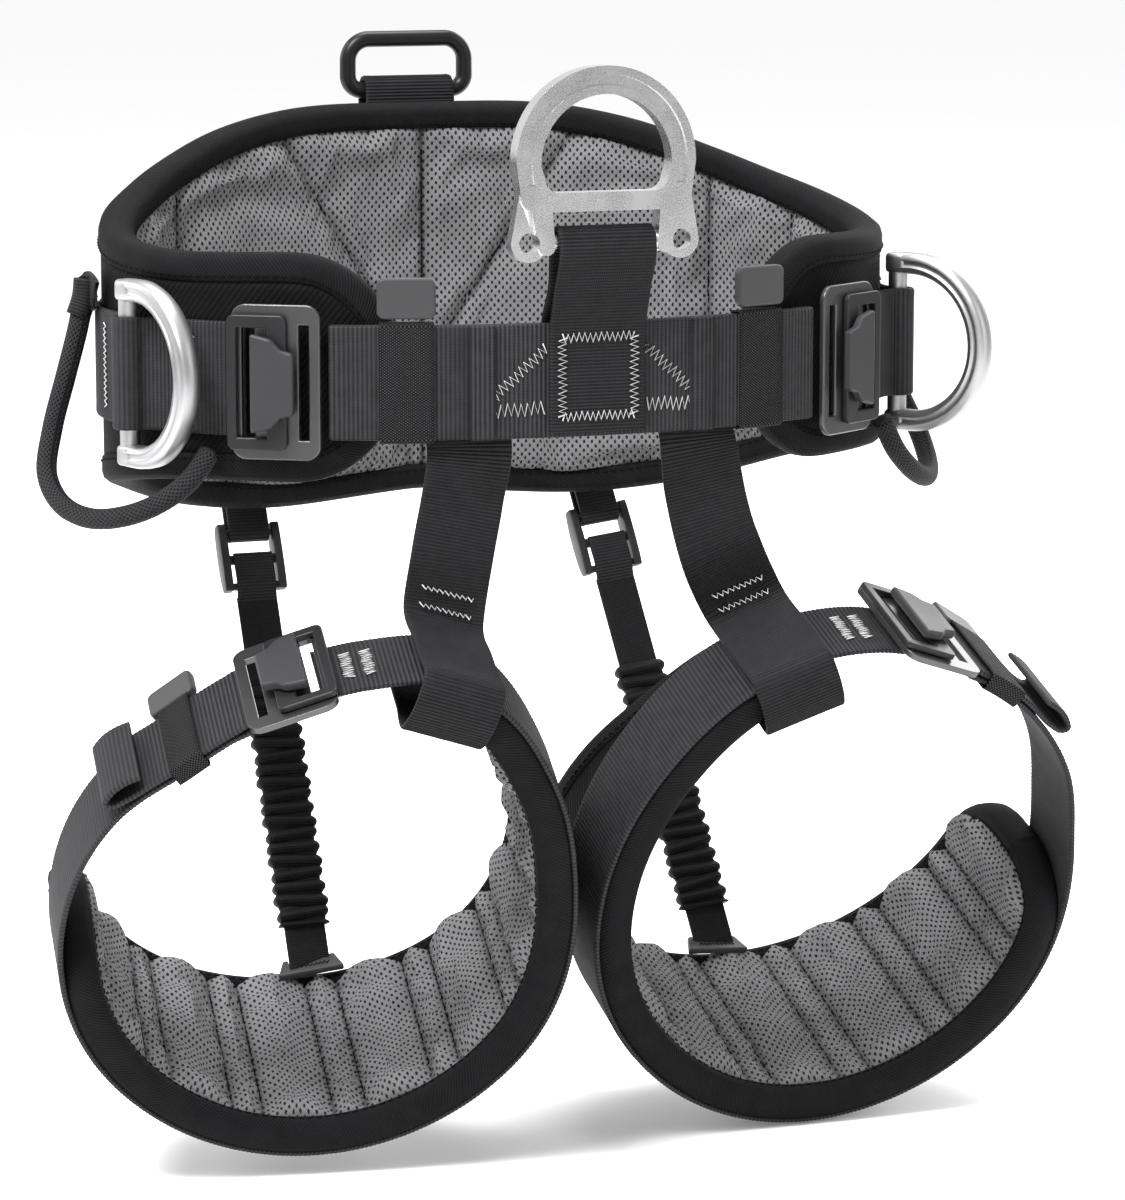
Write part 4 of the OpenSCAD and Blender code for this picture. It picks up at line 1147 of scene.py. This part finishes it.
def shirred(name, path, across, folds, node):
    """Gathered elastic, plain at both ends; folds are their start, stop and pitch along it."""
    start, stop, pitch = folds
    path = resample(path, 0.4, smooth=False)
    along = lengths(path)
    inside = (along > start) & (along < stop)
    turn = (along - start) / pitch * 2 * math.pi
    swell = np.where(inside, 0.5 - 0.5 * np.cos(turn), 0)
    wobble = np.sin(np.floor((along - start) / pitch) * 2.1)
    t = tangents(path)
    n = np.cross(across, t)
    half = 9.0 + 1.9 * swell ** 0.35 + np.where(inside, 0.5 + 0.35 * wobble, 0)
    thick = 1.1 + np.where(inside, 0.9, 0) + 2.9 * swell ** 0.5
    m = 22
    a = np.arange(m) * 2 * math.pi / m
    cx = np.sign(np.cos(a)) * np.abs(np.cos(a)) ** 0.35
    cy = np.sign(np.sin(a)) * np.abs(np.sin(a)) ** 0.55
    skew = np.where(inside, 0.9 * wobble, 0)
    rings = (path[:, None] + (cx[None, :] * half[:, None])[..., None] * across
             + (cy[None, :] * thick[:, None])[..., None] * n[:, None]
             + (cx[None, :] * skew[:, None])[..., None] * t[:, None])
    verts, faces = loft(rings)
    uvs = np.stack([np.tile(cx * 9, len(path)), np.repeat(along, m)], 1)
    return make(name, verts, faces, SHIRR, None, uvs=uvs, replaces=node, slot="elastic")


for side, leg in legs.items():
    body = f"{side}_leg"
    # woven sleeve and clip of the leg strap
    sleeve(f"{side}_leg_keeper", leg.at_angle, LEG_UNDER - WEB_T / 2 - 1.6, LEG_TAIL + WEB_T / 2 + 1.8,
           LEG_W / 2 + 1.0, np.linspace(leg.keeper - 5.4, leg.keeper + 5.4, 9), 17, f"{side}_leg_keeper")
    bevelled(f"{side}_leg_keeper_clip", PLASTIC, 1.2)

    # rear hanger, ladder lock, elastic and anchor tab
    start, reach, down, across, out = rear_frame(side, leg)

    def at(along, outward=0.0, sideways=0.0):
        return start + along * down + outward * out + sideways * across

    r = 2.9
    hang = ([at(-9, -r), at(0, -r), at(9, -r)]
            + [at(11 + r * sine, -r * cosine) for sine, cosine in map(turned, range(30, 151, 30))]
            + [at(9, r), at(0, r), at(-9, r)])
    strap(f"{side}_rear_hanger", hang, across, REAR_W, "saddle", replaces=f"{side}_rear_strap", **NARROW)
    lock = f"{side}_ladder_lock"
    arc = np.radians(np.linspace(-90, 90, 13))
    cheek = ([(15 * math.sin(a), 2.2 + 3.2 * math.cos(a)) for a in arc]
             + [(15 * math.sin(a), -2.2 - 1.2 * math.cos(a)) for a in arc[::-1]])
    for end, sign in (("outer", -1), ("inner", 1)):
        piece = prism(f"{side}_lock_{end}_cheek", cheek, 3.6,
                      (at(22, 0, sign * 11.9), down, out, across * sign), DARK_PLASTIC, lock, 0.9)
        if end == "outer":
            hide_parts(lock)
    tube(f"{side}_lock_top_bar", [at(11, 0, -11.5), at(11, 0, 11.5)], 1.3, lock, DARK_PLASTIC)
    for end, along, tall in (("middle", 23, 4.0), ("lower", 35, 3.0)):
        bar = [(-tall / 2, -1.4), (tall / 2, -1.4), (tall / 2, 1.4), (-tall / 2, 1.4)]
        prism(f"{side}_lock_{end}_bar", bar, 21.5, (at(along), down, out, across), DARK_PLASTIC, lock, 0.6)
    elastic = shirred(f"{side}_gathered_elastic", [at(40), at(reach + 2.2)], across,
                      (40, reach - 57.4, 5.75), f"{side}_elastic_strap")
    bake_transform(elastic)
    feed = [at(21, -2.9), at(27, -3.0), at(34, -2.9), at(38, -1.6), at(42, 0)]
    fed = strap(f"{side}_lock_webbing", feed, across, REAR_W - 0.6, None, **NARROW)
    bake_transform(fed)
    n = -leg.out(leg.anchor)
    wide, tall = leg.along(leg.anchor), leg.across(leg.anchor)
    tall = tall if tall[2] > 0 else -tall
    seat = leg.at_angle(leg.anchor, curve_at(FAR_KEYS, leg.anchor) + 4, -FACE - 5.3 - 1.5)
    plate = [(-14, -5), (14, -5), (11, 5), (8.6, 5), (8.6, 2.6), (-8.6, 2.6), (-8.6, 5), (-11, 5)]
    prism(f"{side}_anchor_plate", plate, 3.0, (seat, wide, tall, n), PLASTIC, body, 0.7,
          replaces=f"{side}_rear_anchor_tab", slot="dark_plastic")
    row = [seat + wide * x - tall * 1.6 + n * 1.7 for x in (-8, 8)]
    threads(f"{side}_anchor_stitches", [zigzag(row, n, 0.9, 1.6, 0.1)], body, BLACK_THREAD, 0.25)

# ---- Gear loops ----

GEAR_ROUTE = [(-171, 14, 32), (-174, 14, 16), (-180, 13, -5), (-187, 10, -27), (-192, 0, -44),
              (-190, -14, -54), (-183, -30, -58), (-173, -45, -56), (-162, -57, -50), (-151, -66, -40), (-143, -71, -27)]


def gear_loop(side, sign):
    """Braided loop with the sleeve and the tab that hold its top end."""
    route = flipped(GEAR_ROUTE, sign)
    tube(f"{side}_braided_loop", route, 4.2, f"{side}_gear_loop", BRAID, sides=20, taper=1.5,
         replaces=f"{side}_gear_loop", slot="gear_loop_sleeve")
    top = np.array(GEAR_ROUTE[:3], float)
    grip = [top[0] + (0, 0, 1), top[0] - (0.8, 0, 6), top[1] + (-0.5, 0, 2)]
    tube(f"{side}_loop_top_sleeve", flipped(grip, sign), 5.0, f"{side}_gear_loop", WEB_FINE)
    tab = [waist_at(-86, 27, UNDER + 2.6), waist_at(-90, 28, UNDER + 3.4),
           top[0] + (1.5, 3, -3), top[0] + (0.5, -1, -4)]
    strap(f"{side}_loop_sewn_tab", flipped(tab, sign), Z_AXIS, 13, "saddle", thick=1.8, pitch=1.3,
          material=WEB_FINE)


both_sides(gear_loop)

# ---- Stitching ----

OUT = np.array([0, -1.0, 0])
face_y = -(RY + BRIDGE_D + WEB_T + FIT) - WEB_T / 2 - 0.15


def on_bridge(x, z):
    phi = 180 - math.degrees(math.asin(x / (RX + BRIDGE_D + 1.4)))
    return waist_at(phi, z, BRIDGE_D + WEB_T / 2 + 0.15)


box = [(-15, face_y, 17), (15, face_y, 17), (15, face_y, -14), (-15, face_y, -14), (-15, face_y, 17)]
threads("ventral_box_stitch", [zigzag([a, b], OUT, 1.15, 3.4) for a, b in zip(box, box[1:])], "saddle")
for side, sign in (("left", -1), ("right", 1)):
    slope, base = ((45, -8), (37, -1), (29, 6), (21, 13)), ((45, -11.5), (33, -11), (22, -10.5))
    rows = [zigzag([on_bridge(sign * x, z) for x, z in row], OUT, 1.3, width)
            for row, width in ((slope, 4.2), (base, 5.0))]
    threads(f"{side}_bridge_stitches", rows, "saddle")
    rows = []
    for phi in (-SIDE_PHI + 13, -SIDE_PHI - 13):
        ends = [waist_at(phi, z, UNDER + WEB_T / 2 + 0.15) for z in (-17, 17)]
        row = zigzag(ends, waist_out(phi), 1.2, 2.6)
        rows.append(row if side == "left" else mirrored(row))
    threads(f"{side}_side_stitches", rows, "saddle")

for side, leg in legs.items():
    tack = leg.riser + 19
    n = leg.out(tack)
    rows = [zigzag([leg.at_angle(tack + k, a, LEG_UNDER + WEB_T / 2 + 0.15) for a in (-9, 9)], n, 0.8, 4.0)
            for k in (-2.2, 2.2)]
    threads(f"{side}_hook_tack", rows, f"{side}_leg")

# ---- Floor, then the end ----

low_z = min(corner[2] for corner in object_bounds())
bpy.ops.mesh.primitive_plane_add(size=40, location=(0, 0, low_z - 0.001))
floor = bpy.context.object
floor.name = "floor"
floor.data.materials.append(floor_material())
card = Shade("grey_card", (0.1, 0.1, 0.1), 0.9)
card.mix_color(card.noise(card.place(uv=False)[0], 0.003), (0.09, 0.09, 0.09), (0.11, 0.11, 0.11))
cards = []
for place, turn, size in (((0.85, -2.3, 0.15), 20, (1.5, 1.1)), ((-1.25, -0.75, 0.0), -62, (0.7, 1.6)),
                          ((1.35, -0.25, 0.0), 80, (0.6, 1.6))):
    bpy.ops.mesh.primitive_plane_add(size=1, location=place, rotation=(math.pi / 2, 0, math.radians(turn)))
    board = bpy.context.object
    board.scale = (*size, 1)
    board.data.materials.append(card.mat)
    board.visible_camera = False
    cards.append(board)
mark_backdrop(floor, *cards)
